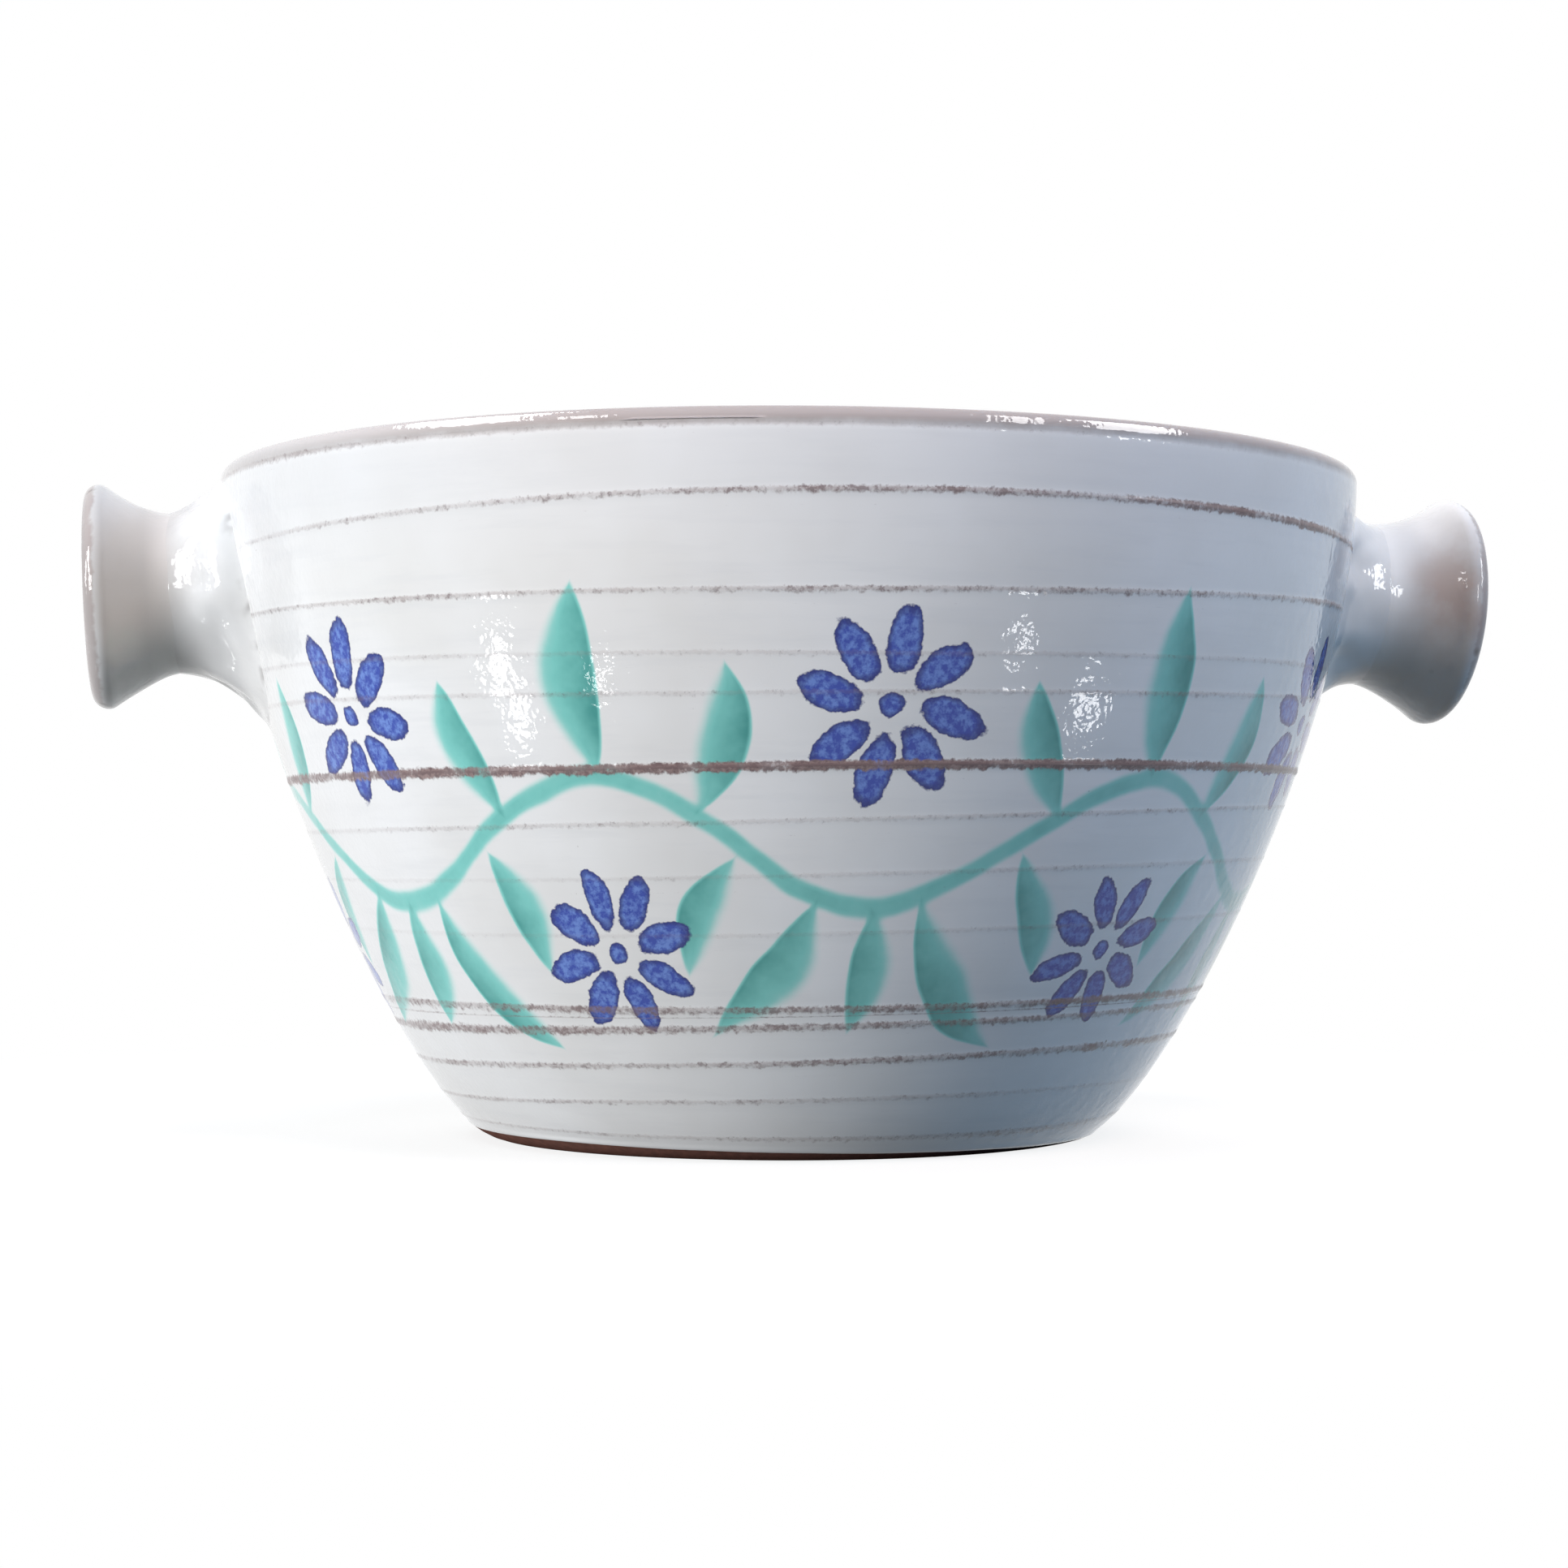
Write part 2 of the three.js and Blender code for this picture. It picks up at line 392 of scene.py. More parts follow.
class Number:
    """A number in a node tree."""

    def __init__(self, tree, source):
        self.tree, self.socket = tree, socket_of(source)

    def calc(self, operation, *others, **settings):
        """What a Math node makes of this number."""
        return Number(self.tree, add(
            self.tree, "ShaderNodeMath", self, *others, operation=operation, **settings))

    def __add__(self, other):
        return self.calc("ADD", other)

    def __sub__(self, other):
        return self.calc("SUBTRACT", other)

    def __rsub__(self, other):
        return self * -1.0 + other

    def __mul__(self, other):
        return self.calc("MULTIPLY", other)

    def __truediv__(self, other):
        return self.calc("DIVIDE", other)

    def __abs__(self):
        return self.calc("ABSOLUTE")

    def remap(self, *limits, **settings):
        """This number, taken from one range to another."""
        return Number(self.tree, add(self.tree, "ShaderNodeMapRange", self, *limits, **settings))

    def ease(self, *limits):
        """This number, taken from one range to another with soft ends."""
        return self.remap(*limits, interpolation_type="SMOOTHSTEP")


def hypotenuse(first, second):
    """The length of a line with these two legs."""
    return (first * first + second * second).calc("SQRT")


def parts_of(tree, vector):
    """The three numbers of a vector."""
    xyz = add(tree, "ShaderNodeSeparateXYZ", vector)
    return [Number(tree, xyz.outputs[axis]) for axis in "XYZ"]


# %% [markdown]
# The wheel turns an outline into a pot, and a Geometry Nodes tree can do the same. A Screw modifier
# would spin the outline too, but every ring would then be perfect. The tree takes each row of the
# outline to a ring of points, and lets noise lift and lower the ring, thin it out and push the pot a
# little out of round.

# %% The wheel takes rows to rings
WHEEL_INPUTS = [
    ("Outline", "NodeSocketGeometry", None),
    ("Sides", "NodeSocketInt", 280),
    ("Ring wander", "NodeSocketFloat", 0.25 * MM),
    ("Out of round", "NodeSocketFloat", 0.35 * MM),
    ("Seed", "NodeSocketFloat", 4.0),
    ("Glaze", "NodeSocketMaterial", None),
]
wheel = bpy.data.node_groups.new("wheel", "GeometryNodeTree")
wheel_sockets = {}
for name, kind, value in WHEEL_INPUTS:
    wheel_sockets[name] = wheel.interface.new_socket(name, in_out="INPUT", socket_type=kind)
wheel.interface.new_socket("Pot", in_out="OUTPUT", socket_type="NodeSocketGeometry")
given = wheel.nodes.new("NodeGroupInput").outputs

row_count = Number(wheel, add(wheel, "GeometryNodeAttributeDomainSize", given["Outline"]))
sides = Number(wheel, given["Sides"])
sheet = add(wheel, "GeometryNodeMeshGrid", 1, 1, sides + 1, row_count)
index = Number(wheel, add(wheel, "GeometryNodeInputIndex"))
row_index = index.calc("MODULO", row_count)
turn = (index / row_count).calc("FLOOR") / sides * (2 * math.pi)
sine, cosine = turn.calc("SINE"), turn.calc("COSINE")

at_row = {}
for name in make_row(0, 0):
    stored = add(wheel, "GeometryNodeInputNamedAttribute", name, data_type="FLOAT")
    at_row[name] = Number(wheel, add(
        wheel, "GeometryNodeSampleIndex", given["Outline"], stored, row_index, data_type="FLOAT"))
print("nodes in the wheel so far:", len(wheel.nodes))

# %% [markdown]
# The noise is sampled on a circle, so it closes on itself. Each ring has a seed of its own.

# %% The wheel is not quite true
RING_SEED_STEP = 7.31
round_place = add(wheel, "ShaderNodeCombineXYZ", sine, cosine, 0.0)
ring_seed = at_row["ring"] * RING_SEED_STEP + given["Seed"]


def round_noise(seed, scale, detail, roughness):
    """Noise round the pot."""
    return Number(wheel, add(
        wheel, "ShaderNodeTexNoise", round_place, seed, scale, detail, roughness, noise_dimensions="4D"))


wander = round_noise(ring_seed, 1.3, 2.0, 0.5).remap(0.25, 0.75, -1.0, 1.0) * given["Ring wander"]
lift = at_row["climb"] * sine + wander * at_row["hold"]
lift = at_row["bow"] * (sine * sine) + lift
breaks = round_noise(ring_seed, 4.0, 4.0, 0.6).remap(0.3, 0.7, 0.65, 1.3)
ring_strength = at_row["strength"] * breaks * (at_row["lean"] * sine + 1.0)
squash = round_noise(given["Seed"], 0.8, 1.0, 0.5).remap(0.25, 0.75, -1.0, 1.0)
squash = squash * given["Out of round"] * (at_row["height"] / BOWL_HEIGHT)
squash = at_row["belly"] * sine + squash
print("nodes in the wheel so far:", len(wheel.nodes))

# %% [markdown]
# The points are moved to their places, and the pot is given its glaze. It keeps, for the glaze, how
# far each point is from the nearest crest and how strong that ring is.

# %% The pot comes off the wheel
ON_AXIS = 1 * MM
WELD = 0.002 * MM
radius = at_row["slope"] * lift + at_row["radius"]
radius = at_row["crest"] * ring_strength + radius
radius = at_row["radius"].calc("GREATER_THAN", ON_AXIS) * squash + radius
place = add(
    wheel, "ShaderNodeCombineXYZ", radius * sine, radius * cosine * -1.0, at_row["height"] + lift)
pot = add(wheel, "GeometryNodeSetPosition", sheet, True, place)
pot_values = {
    "ring_above": at_row["above"], "ring_strength": ring_strength,
    "glazed": at_row["glazed"], "outside": at_row["outside"],
}
for name, value in pot_values.items():
    pot = add(wheel, "GeometryNodeStoreNamedAttribute", pot, True, name, value, data_type="FLOAT")
pot = add(wheel, "GeometryNodeMergeByDistance", pot, True, WELD)
pot = add(wheel, "GeometryNodeSetShadeSmooth", pot, True, True)
pot = add(wheel, "GeometryNodeRealizeInstances", pot)
pot = add(wheel, "GeometryNodeSetMaterial", pot, True, given["Glaze"])
add(wheel, "NodeGroupOutput", pot)
print("nodes in the wheel:", len(wheel.nodes))

# %% [markdown]
# Colours are written as they look on screen, as hex values, and one function turns them to the linear
# values that Blender works with.

# %% Colours


def linear(hex_colour):
    """An sRGB hex colour as linear RGBA."""
    channels = [int(hex_colour[i:i + 2], 16) / 255 for i in (1, 3, 5)]
    return [c / 12.92 if c <= 0.04045 else ((c + 0.055) / 1.055) ** 2.4 for c in channels] + [1.0]


GLAZE_WHITE = linear("#e8e8e7")
GLAZE_WARM = linear("#dfdedb")
GLAZE_STREAK = linear("#d2d3d4")
# thin pink-grey glaze, darkened in part as painted shade for the lip
GLAZE_THIN = linear("#998c88")
RING_BROWN = linear("#9a8480")
RING_DARK = linear("#6e5a5a")
IRON_SPECK = linear("#5b4a42")
CLAY_RED = linear("#916356")
CLAY_DARK = linear("#543f3a")
TEAL_DEEP = linear("#3a948d")
TEAL_MID = linear("#78c8bf")
TEAL_PALE = linear("#b5e0da")
COBALT_DARK = linear("#16226e")
COBALT_MID = linear("#2c47a6")
COBALT_PALE = linear("#6485cc")
WHITE = linear("#ffffff")
print("white glaze, linear:", [round(c, 3) for c in GLAZE_WHITE[:3]])

# %% [markdown]
# The glaze is a glossy white studio glaze over red-brown clay. It was poured and fired, so it is
# glassy, a little wavy like orange peel, faintly cloudy, and dotted with specks of iron from the clay.
# All pieces share this base. It works in object coordinates, in metres, so that a pattern of 3 mm
# needs a scale of one over 3 mm.

# %% White glaze shared by all pieces
ORANGE_PEEL = 3.2 * MM
PEEL_DEPTH = 0.16 * MM
CLOUD = 34 * MM
SPECK_SPACING = 11 * MM
SPECK_SIZE = 0.036
SPECK_SOFT = 0.012
BODY_ROUGHNESS = 0.8
GLASS_IOR = 1.45
GLASS_ROUGHNESS = 0.06


def blend(share, first, second):
    """A share of the way from one colour to another."""
    return add(share.tree, "ShaderNodeMix", share, first, second, data_type="RGBA")


def clouds(tree, place, size, detail, roughness, squeeze=1):
    """Noise with forms of one size, which can be squeezed in height."""
    if squeeze != 1:
        place = add(tree, "ShaderNodeVectorMath", place, (1, 1, squeeze), operation="MULTIPLY")
    return Number(tree, add(tree, "ShaderNodeTexNoise", place, 1 / size, detail, roughness))


def point_value(tree, name):
    """A value that the mesh carries on its points."""
    return Number(tree, add(tree, "ShaderNodeAttribute", attribute_name=name).outputs["Fac"])


def start_glaze(name):
    """A material with the white glaze's colour and waves. Returns its tree and sockets."""
    material = bpy.data.materials.new(name)
    material.use_nodes = True
    tree = material.node_tree
    tree.nodes.clear()
    here = add(tree, "ShaderNodeTexCoord").outputs["Object"]
    cloud = clouds(tree, here, CLOUD, 3.0, 0.55).remap(0.35, 0.7, 0.0, 1.0)
    colour = blend(cloud, GLAZE_WHITE, GLAZE_WARM)
    specks = add(tree, "ShaderNodeTexVoronoi", here, 1 / SPECK_SPACING)
    pick = Number(tree, add(tree, "ShaderNodeSeparateColor", specks.outputs["Color"]))
    dot = (pick * SPECK_SIZE - specks.outputs["Distance"]).remap(0.0, SPECK_SOFT, 0.0, 0.75)
    colour = blend(dot, colour, IRON_SPECK)
    peel = clouds(tree, here, ORANGE_PEEL, 2.0, 0.65)
    return material, tree, here, colour, peel


def finish_glaze(tree, colour, height, roughness, glazed):
    """Ends a glaze in its shader: a matt coloured body under a clear, wavy coat of glass."""
    shader = add(tree, "ShaderNodeBsdfPrincipled")
    inputs = {
        "Base Color": colour, "Roughness": BODY_ROUGHNESS, "Specular IOR Level": 0.0,
        "Coat Weight": glazed, "Coat Roughness": roughness, "Coat IOR": GLASS_IOR,
        "Coat Normal": add(tree, "ShaderNodeBump", 1.0, PEEL_DEPTH, None, height),
    }
    for name, value in inputs.items():
        if isinstance(value, float):
            shader.inputs[name].default_value = value
        else:
            tree.links.new(socket_of(value), shader.inputs[name])
    add(tree, "ShaderNodeOutputMaterial", shader)


# %% [markdown]
# The garland is brushed and sprayed under the glaze: a waving stem with soft teal leaves, and cobalt
# rosettes in its bays. It could be an image, but it is drawn here from formulas, so it is sharp at any
# size and repeats round the bowl. A leaf is a spine with a width that swells and tapers, crisp on the
# side where a stencil was held and soft on the side where the spray ran out. It is a node group, so
# that each leaf on the bowl is one node with its own place, length and turn, in millimetres and
# degrees.

# %% A leaf, as a node group
LEAF_SOFTNESS = 2.6


def new_group(name, inputs, output):
    """A shader node group with these numbers as inputs and one as output."""
    group = bpy.data.node_groups.new(name, "ShaderNodeTree")
    for socket in inputs:
        group.interface.new_socket(socket, in_out="INPUT", socket_type="NodeSocketFloat")
    group.interface.new_socket(output, in_out="OUTPUT", socket_type="NodeSocketFloat")
    outputs = group.nodes.new("NodeGroupInput").outputs
    return group, [Number(group, outputs[socket]) for socket in inputs]


leaf, (across, up, turn, length, width, bend) = new_group(
    "sprayed_leaf", ("Across", "Up", "Turn", "Length", "Width", "Bend"), "Bare")
place = add(leaf, "ShaderNodeCombineXYZ", across, up, 0.0)
turned = add(
    leaf, "ShaderNodeVectorRotate", place, None, turn * (-math.pi / 180), rotation_type="Z_AXIS")
ahead, aside, _ = parts_of(leaf, turned)
along = ahead / length
swell = (along - along * along) * 4.0
aside = aside - swell * bend
depth = width * 0.5 * swell - abs(aside)
crisp = depth.ease(-0.5, 0.9, 0.0, 1.0)
soft = depth.ease(-0.6 * LEAF_SOFTNESS, 1.4 * LEAF_SOFTNESS, 0.0, 1.0)
cover = crisp + (soft - crisp) * aside.ease(-2.0, 2.0, 0.0, 1.0)
cover = cover * aside.remap(-5.0, 6.0, 1.0, 0.4)
add(leaf, "NodeGroupOutput", 1.0 - cover)
print("nodes in a leaf:", len(leaf.nodes))

# %% [markdown]
# A rosette folds the circle into one petal and draws it once, as an oval, with a round heart in the
# middle. The group gives how deep a place lies inside the brushed colour.

# %% A rosette, as a node group
PETALS = 8
PETAL_MIDDLE, PETAL_LENGTH, PETAL_WIDTH = 0.63, 0.36, 0.185  # as shares of the radius
HEART_RADIUS = 0.13
HEART_EDGE = 5.0

rosette, (across, up, radius, turn) = new_group(
    "brushed_rosette", ("Across", "Up", "Radius", "Turn"), "Depth")
bearing = up.calc("ARCTAN2", across) + turn
folded = bearing.calc("WRAP", math.pi / PETALS, -math.pi / PETALS)
out = hypotenuse(across, up) / radius
petal_along = (out * folded.calc("COSINE") - PETAL_MIDDLE) / PETAL_LENGTH
petal_aside = out * folded.calc("SINE") / PETAL_WIDTH
petal_depth = 1.0 - hypotenuse(petal_along, petal_aside)
heart_depth = (HEART_RADIUS - out) * HEART_EDGE
add(rosette, "NodeGroupOutput", petal_depth.calc("MAXIMUM", heart_depth))
print("nodes in a rosette:", len(rosette.nodes))

# %% [markdown]
# Now the bowl's glaze is put together from the back to the front, as it was on the real pot. First
# comes the white. It is streaked where it was poured, and towards the rim it is painted darker, a
# painted shade. The numbers here give the height, the distance from the axis and the angle round the
# bowl, and the joints of the handles are kept free of paint.

# %% Glaze of the bowl: white
RIM_SHADE = (112.0, 136.0)  # heights in mm between which the white darkens towards the rim, a painted shade
STREAK = 30 * MM
JOINT_SIDE = 2.6
JOINT_HEIGHT = 116.5
JOINT_CLEAN = 33.0
JOINT_SOFT = 4.0

bowl_glaze, tree, here, colour, peel = start_glaze("painted_white_glaze")
x, y, z = parts_of(tree, here)
up_mm = z / MM
out_mm = hypotenuse(x, y) / MM
round_angle = x.calc("ARCTAN2", y * -1.0)
from_joint = hypotenuse(y / MM - JOINT_SIDE, up_mm - JOINT_HEIGHT)
paintable = from_joint.ease(JOINT_CLEAN - JOINT_SOFT, JOINT_CLEAN + JOINT_SOFT, 0.0, 1.0)
paintable = paintable * point_value(tree, "outside")

streaks = clouds(tree, here, STREAK, 4.0, 0.6, squeeze=10).remap(0.5, 0.75, 0.0, 0.3)
colour = blend(streaks, colour, GLAZE_STREAK)
# painted shade: the white darkens towards the rim
colour = blend(up_mm.ease(*RIM_SHADE, 0.0, 0.45), colour, GLAZE_STREAK)
print("nodes in the bowl's glaze so far:", len(tree.nodes))

# %% [markdown]
# The garland's plan is a list of leaves and rosettes in millimetres. The hand that painted it shook a
# little, so noise shifts the place of everything.

# %% The garland's plan
GARLAND_REPEATS = 6
STEM_HEIGHT = 63.0
STEM_WAVE = 12.0
STEM_HALF_WIDTH = 1.6
HAND_SHAKE = 3.0
SHAKE_LENGTH = 30 * MM
# which half of the wave (0 trough, 1 crest), across and up in mm, turn in degrees, length, width, bend
LEAVES = [
    (1, 1.0, 75.0, 91.0, 36.0, 13.0, 2.5),
    (0, -36.0, 68.5, 80.0, 28.0, 10.5, -2.5),
    (0, 35.0, 68.0, 103.0, 26.0, 10.5, 2.5),
    (0, -11.0, 53.0, 236.0, 33.0, 11.0, 3.0),
    (0, 9.0, 52.0, -58.0, 34.0, 11.0, -3.0),
    (0, -1.0, 51.0, 264.0, 25.0, 9.5, 2.0),
    (0, -28.0, 61.0, 254.0, 24.0, 9.0, -2.0),
    (0, 28.0, 61.0, -78.0, 24.0, 9.0, 2.0),
]
# which half of the wave, height in mm, radius, turn in radians
ROSETTES = [(0, 88.0, 19.0, 0.2), (1, 42.0, 16.0, 0.5)]

shake = add(tree, "ShaderNodeTexNoise", here, 1 / SHAKE_LENGTH, 2.0, 0.5)
shake_across, shake_up, _ = ((v - 0.5) * (2 * HAND_SHAKE) for v in parts_of(tree, shake.outputs["Color"]))
hand_up = up_mm + shake_up
half_repeat = math.pi / GARLAND_REPEATS
hand_across = []
for half in (0, 1):
    shifted = (round_angle + half * half_repeat).calc("WRAP", half_repeat, -half_repeat)
    hand_across.append(shifted * out_mm + shake_across)
print("leaves and rosettes in a repeat:", len(LEAVES), len(ROSETTES))

# %% [markdown]
# The stem and the leaves are sprayed. Where two overlap, the spray adds up, so what is multiplied is
# the share that stays bare. A colour ramp turns little spray to pale teal and much to deep teal.

# %% Glaze of the bowl: teal spray
MIST = 9 * MM

wave = (round_angle * GARLAND_REPEATS).calc("COSINE") * -STEM_WAVE + STEM_HEIGHT
bare = abs(hand_up - wave).ease(STEM_HALF_WIDTH - 0.9, STEM_HALF_WIDTH + 1.6, 0.35, 1.0)
for half, across, up, *shape in LEAVES:
    bare = bare * add(
        tree, "ShaderNodeGroup", hand_across[half] - across, hand_up - up, *shape, node_tree=leaf)
mist = clouds(tree, here, MIST, 3.0, 0.6).remap(0.3, 0.7, 0.82, 1.08)
spray = ((1.0 - bare) * paintable).calc("MULTIPLY", mist, use_clamp=True)
teal = add(tree, "ShaderNodeValToRGB", spray)
stops = teal.color_ramp.elements
stops[0].position, stops[0].color = 0.0, TEAL_PALE
stops[1].position, stops[1].color = 1.0, TEAL_DEEP
stops.new(0.6).color = TEAL_MID
colour = blend(spray.ease(0.02, 0.5, 0.0, 1.0), colour, teal)
print("nodes in the bowl's glaze so far:", len(tree.nodes))

# %% [markdown]
# The rosettes are brushed. The bristles fray their edge, the colour pools dark along it, and the
# middle of a stroke is mottled.

# %% Glaze of the bowl: cobalt brush
BRISTLE = 2.2 * MM
MOTTLE = 1.5 * MM

petals = None
for half, up, *shape in ROSETTES:
    one = Number(tree, add(
        tree, "ShaderNodeGroup", hand_across[half], hand_up - up, *shape, node_tree=rosette))
    petals = one if petals is None else petals.calc("MAXIMUM", one)
petals = petals + clouds(tree, here, BRISTLE, 3.0, 0.6).remap(0.3, 0.7, -0.09, 0.09)
mottle = clouds(tree, here, MOTTLE, 3.0, 0.65).remap(0.42, 0.62, 0.0, 1.0)
cobalt = blend(mottle, COBALT_MID, COBALT_PALE)
cobalt = blend(petals.remap(0.05, 0.34, 1.0, 0.0), cobalt, COBALT_DARK)
colour = blend(petals.remap(0.0, 0.07, 0.0, 1.0) * paintable, colour, cobalt)
print("nodes in the bowl's glaze so far:", len(tree.nodes))

# %% [markdown]
# On a crest the glaze is so thin that brown shows. The band is sharp above and runs down a little
# below. It is patchy where the ring is weak, and has a dark core where it is strong.

# %% Glaze of the bowl: brown on the rings
GRAIN = 1.1 * MM
RUNS = 1.6 * MM
CLOTS = 7 * MM
PATCHY = 0.55

ring_above, ring_strength = (point_value(tree, key) for key in ("ring_above", "ring_strength"))
grain = clouds(tree, here, GRAIN, 3.0, 0.7)
edge_shift = grain.remap(0.3, 0.7, -0.3, 0.3)
run_shift = clouds(tree, here, RUNS, 3.0, 0.65, squeeze=0.35).remap(0.3, 0.7, -0.35, 0.55)
ring_half = ring_strength * 0.8 + 0.15
ring_top = ring_half - ring_above + edge_shift
ring_low = ring_half + ring_above + run_shift
ring = ring_top.calc("MINIMUM", ring_low).ease(-0.2, 0.4, 0.0, 1.0)
ring_strength = ring_strength * clouds(tree, here, CLOTS, 2.0, 0.6).remap(0.3, 0.7, 0.7, 1.3)
patches = (ring_strength * 0.45 + grain).remap(0.6, 0.85, 0.0, 1.0)
ring_cover = ring_strength * (1 - PATCHY) + patches * PATCHY
core = abs(ring_above + edge_shift).ease(0.1, 0.6, 0.9, 0.0)
core = core.calc("MULTIPLY", ring_strength, use_clamp=True)
ring = ring.calc("MULTIPLY", ring_cover, use_clamp=True).calc("MAXIMUM", core)
ring_dark = grain.remap(0.36, 0.6, 0.0, 1.0).calc("MAXIMUM", core)
colour = blend(ring, colour, blend(ring_dark, RING_BROWN, RING_DARK))
print("nodes in the bowl's glaze so far:", len(tree.nodes))

# %% [markdown]
# Last come the lip, pinkish where the glaze is thin and paler at the far left, and the foot, which is
# bare clay. The lip's pink is laid on stronger than the glaze alone would show, as painted shade that
# keeps the lip dark under the light from above. The rings are a little duller than the glass.

# %% Glaze of the bowl: lip and foot
LIP_PATCH = 6 * MM
LIP_BAND = (4.2, 2.0)  # below the rim in mm, start and full
LIP_PALE = (-108 * MM, -55 * MM)
CLAY_GRAIN = 1.8 * MM
RING_ROUGHNESS = 0.28

lip_shift = clouds(tree, here, LIP_PATCH, 3.0, 0.6).remap(0.3, 0.7, -0.25, 0.25)
# partly painted shade: the lip's thin pink glaze is laid on strong to keep the lip dark
lip_cover_and_shade = x.remap(*LIP_PALE, 0.5, 0.85)
lip = (up_mm + lip_shift).ease(*(BOWL_HEIGHT / MM - below for below in LIP_BAND), 0.0, lip_cover_and_shade)
colour = blend(lip, colour, GLAZE_THIN)
clay = blend(clouds(tree, here, CLAY_GRAIN, 4.0, 0.65), CLAY_DARK, CLAY_RED)
glazed = point_value(tree, "glazed").remap(0.35, 0.65, 0.0, 1.0)
colour = blend(glazed, clay, colour)
finish_glaze(tree, colour, peel, ring.remap(0.0, 1.0, GLASS_ROUGHNESS, RING_ROUGHNESS), glazed)
print("nodes in the bowl's glaze:", len(tree.nodes))

# %% [markdown]
# With outline, wheel and glaze ready, the bowl is thrown. The outline is a row of points that carries
# the ring values as attributes. The wheel is put on it as a modifier, its inputs are set by their
# identifiers, and the result is kept as a plain mesh.

# %% Throw the bowl


def new_object(name, data):
    """An object in the scene."""
    made = bpy.data.objects.new(name, data)
    bpy.context.scene.collection.objects.link(made)
    return made


def set_values(mesh, values):
    """Stores numbers on the points of a mesh, under their names."""
    for key, numbers in values.items():
        attribute = mesh.attributes.new(key, "FLOAT", "POINT")
        attribute.data.foreach_set("value", np.asarray(numbers, float).ravel())


def throw(name, rows, glaze):
    """A pot spun by the wheel from rows of an outline, as a plain mesh object."""
    outline = bpy.data.meshes.new(name + "_outline")
    outline.from_pydata([(row["radius"], 0, row["height"]) for row in rows], [], [])
    set_values(outline, {key: [row[key] for row in rows] for key in rows[0]})
    made = new_object(name, outline)
    spin = made.modifiers.new("wheel", "NODES")
    spin.node_group = wheel
    for socket_name, _, value in WHEEL_INPUTS:
        if value is not None:
            spin[wheel_sockets[socket_name].identifier] = value
    spin[wheel_sockets["Glaze"].identifier] = glaze
    evaluated = made.evaluated_get(bpy.context.evaluated_depsgraph_get())
    mesh = bpy.data.meshes.new_from_object(evaluated)
    made.modifiers.clear()
    made.data = mesh
    bpy.data.meshes.remove(outline)
    mesh.name = name
    return made


bowl = throw("thrown_bowl", bowl_rows, bowl_glaze)
print("bowl faces:", len(bowl.data.polygons))

# %% [markdown]
# The handles are small trumpets thrown off the hump, cut to the wall's curve and luted on. No two come
# out alike: the right one is a little longer and droops more. The root of a handle, and the coil of
# clay round it, have to end on a curved wall, so how far the wall reaches is worked out line by line.

# %% Where the handles sit
HANDLE_BELOW_RIM = 25.5 * MM
HANDLE_SWEEP = math.radians(1.25)
HANDLES = {
    "left": {"turn": math.pi - HANDLE_SWEEP, "size": 0.965, "reach": 30.0 * MM, "droop": 2.4, "lift": 0.0},
    "right": {"turn": HANDLE_SWEEP, "size": 1.035, "reach": 33.0 * MM, "droop": 4.5, "lift": 1.8 * MM},
}
SEARCH_REACH = 32.2 * MM
SEARCH_STEPS = 30


def handle_seat(side):
    """The place of a handle: its X axis runs out of the wall along the handle."""
    turn = HANDLES[side]["turn"]
    height = BOWL_HEIGHT - HANDLE_BELOW_RIM + HANDLES[side]["lift"]
    radius = wall_radius(height)
    at = Vector((radius * math.cos(turn), radius * math.sin(turn), height))
    lean = Euler((0, math.radians(HANDLES[side]["droop"]), turn), "XYZ")
    return Matrix.Translation(at) @ lean.to_matrix().to_4x4()


def sleeve_point(along, out, angle):
    """A point beside the handle's axis, at an angle from its top."""
    return Vector((along, out * math.sin(angle), out * math.cos(angle)))


def outside_radius(height):
    """Radius of the outside at a height, which rolls in at the lip."""
    over = min(max(0.0, height - LIP_CENTRE), LIP_ROUND)
    return wall_radius(height) - LIP_ROUND + math.sqrt(LIP_ROUND**2 - over**2)


def wall_reach(seat, out, angle):
    """How far along a handle the wall stands, for a line beside its axis."""
    low, high = -SEARCH_REACH, SEARCH_REACH
    for _ in range(SEARCH_STEPS):
        middle = (low + high) / 2
        point = seat @ sleeve_point(middle, out, angle)
        if math.hypot(point.x, point.y) < outside_radius(point.z):
            low = middle
        else:
            high = middle
    return high


seats = {side: handle_seat(side) for side in HANDLES}
for side, seat in seats.items():
    print(side, "handle's seat in mm:", [round(v / MM, 1) for v in seat.translation])

# %% [markdown]
# The handles' glaze is the same white, a little creamier, thin and pinkish on the edge of the mouth. Its
# grey cream is partly painted shade: it greys the flare away from the joint, where the flare lies in
# shade. On the front of the right flare the colour turns to a brown blush, in blotches. There are a few
# dark iron spots, and pinholes along the seam where the glaze pulled back from the joint. The mesh
# carries four values for it: the cream with its painted shade, the thin edge, the brown blush and the
# seam.

# %% Glaze of the handles and joints
# partly painted shade: this grey stands in part for the shade on the handles
HANDLE_CREAM_AND_SHADE = linear("#a9aaaa")
HANDLE_BLUSH = linear("#a8948a")
SEAM_DARK = linear("#574b47")
BLOTCH = 13 * MM
RAGGED = 4 * MM
PINHOLE = 7 * MM
SPOT_SPACING = 13 * MM
SPOT_SIZE = 0.11


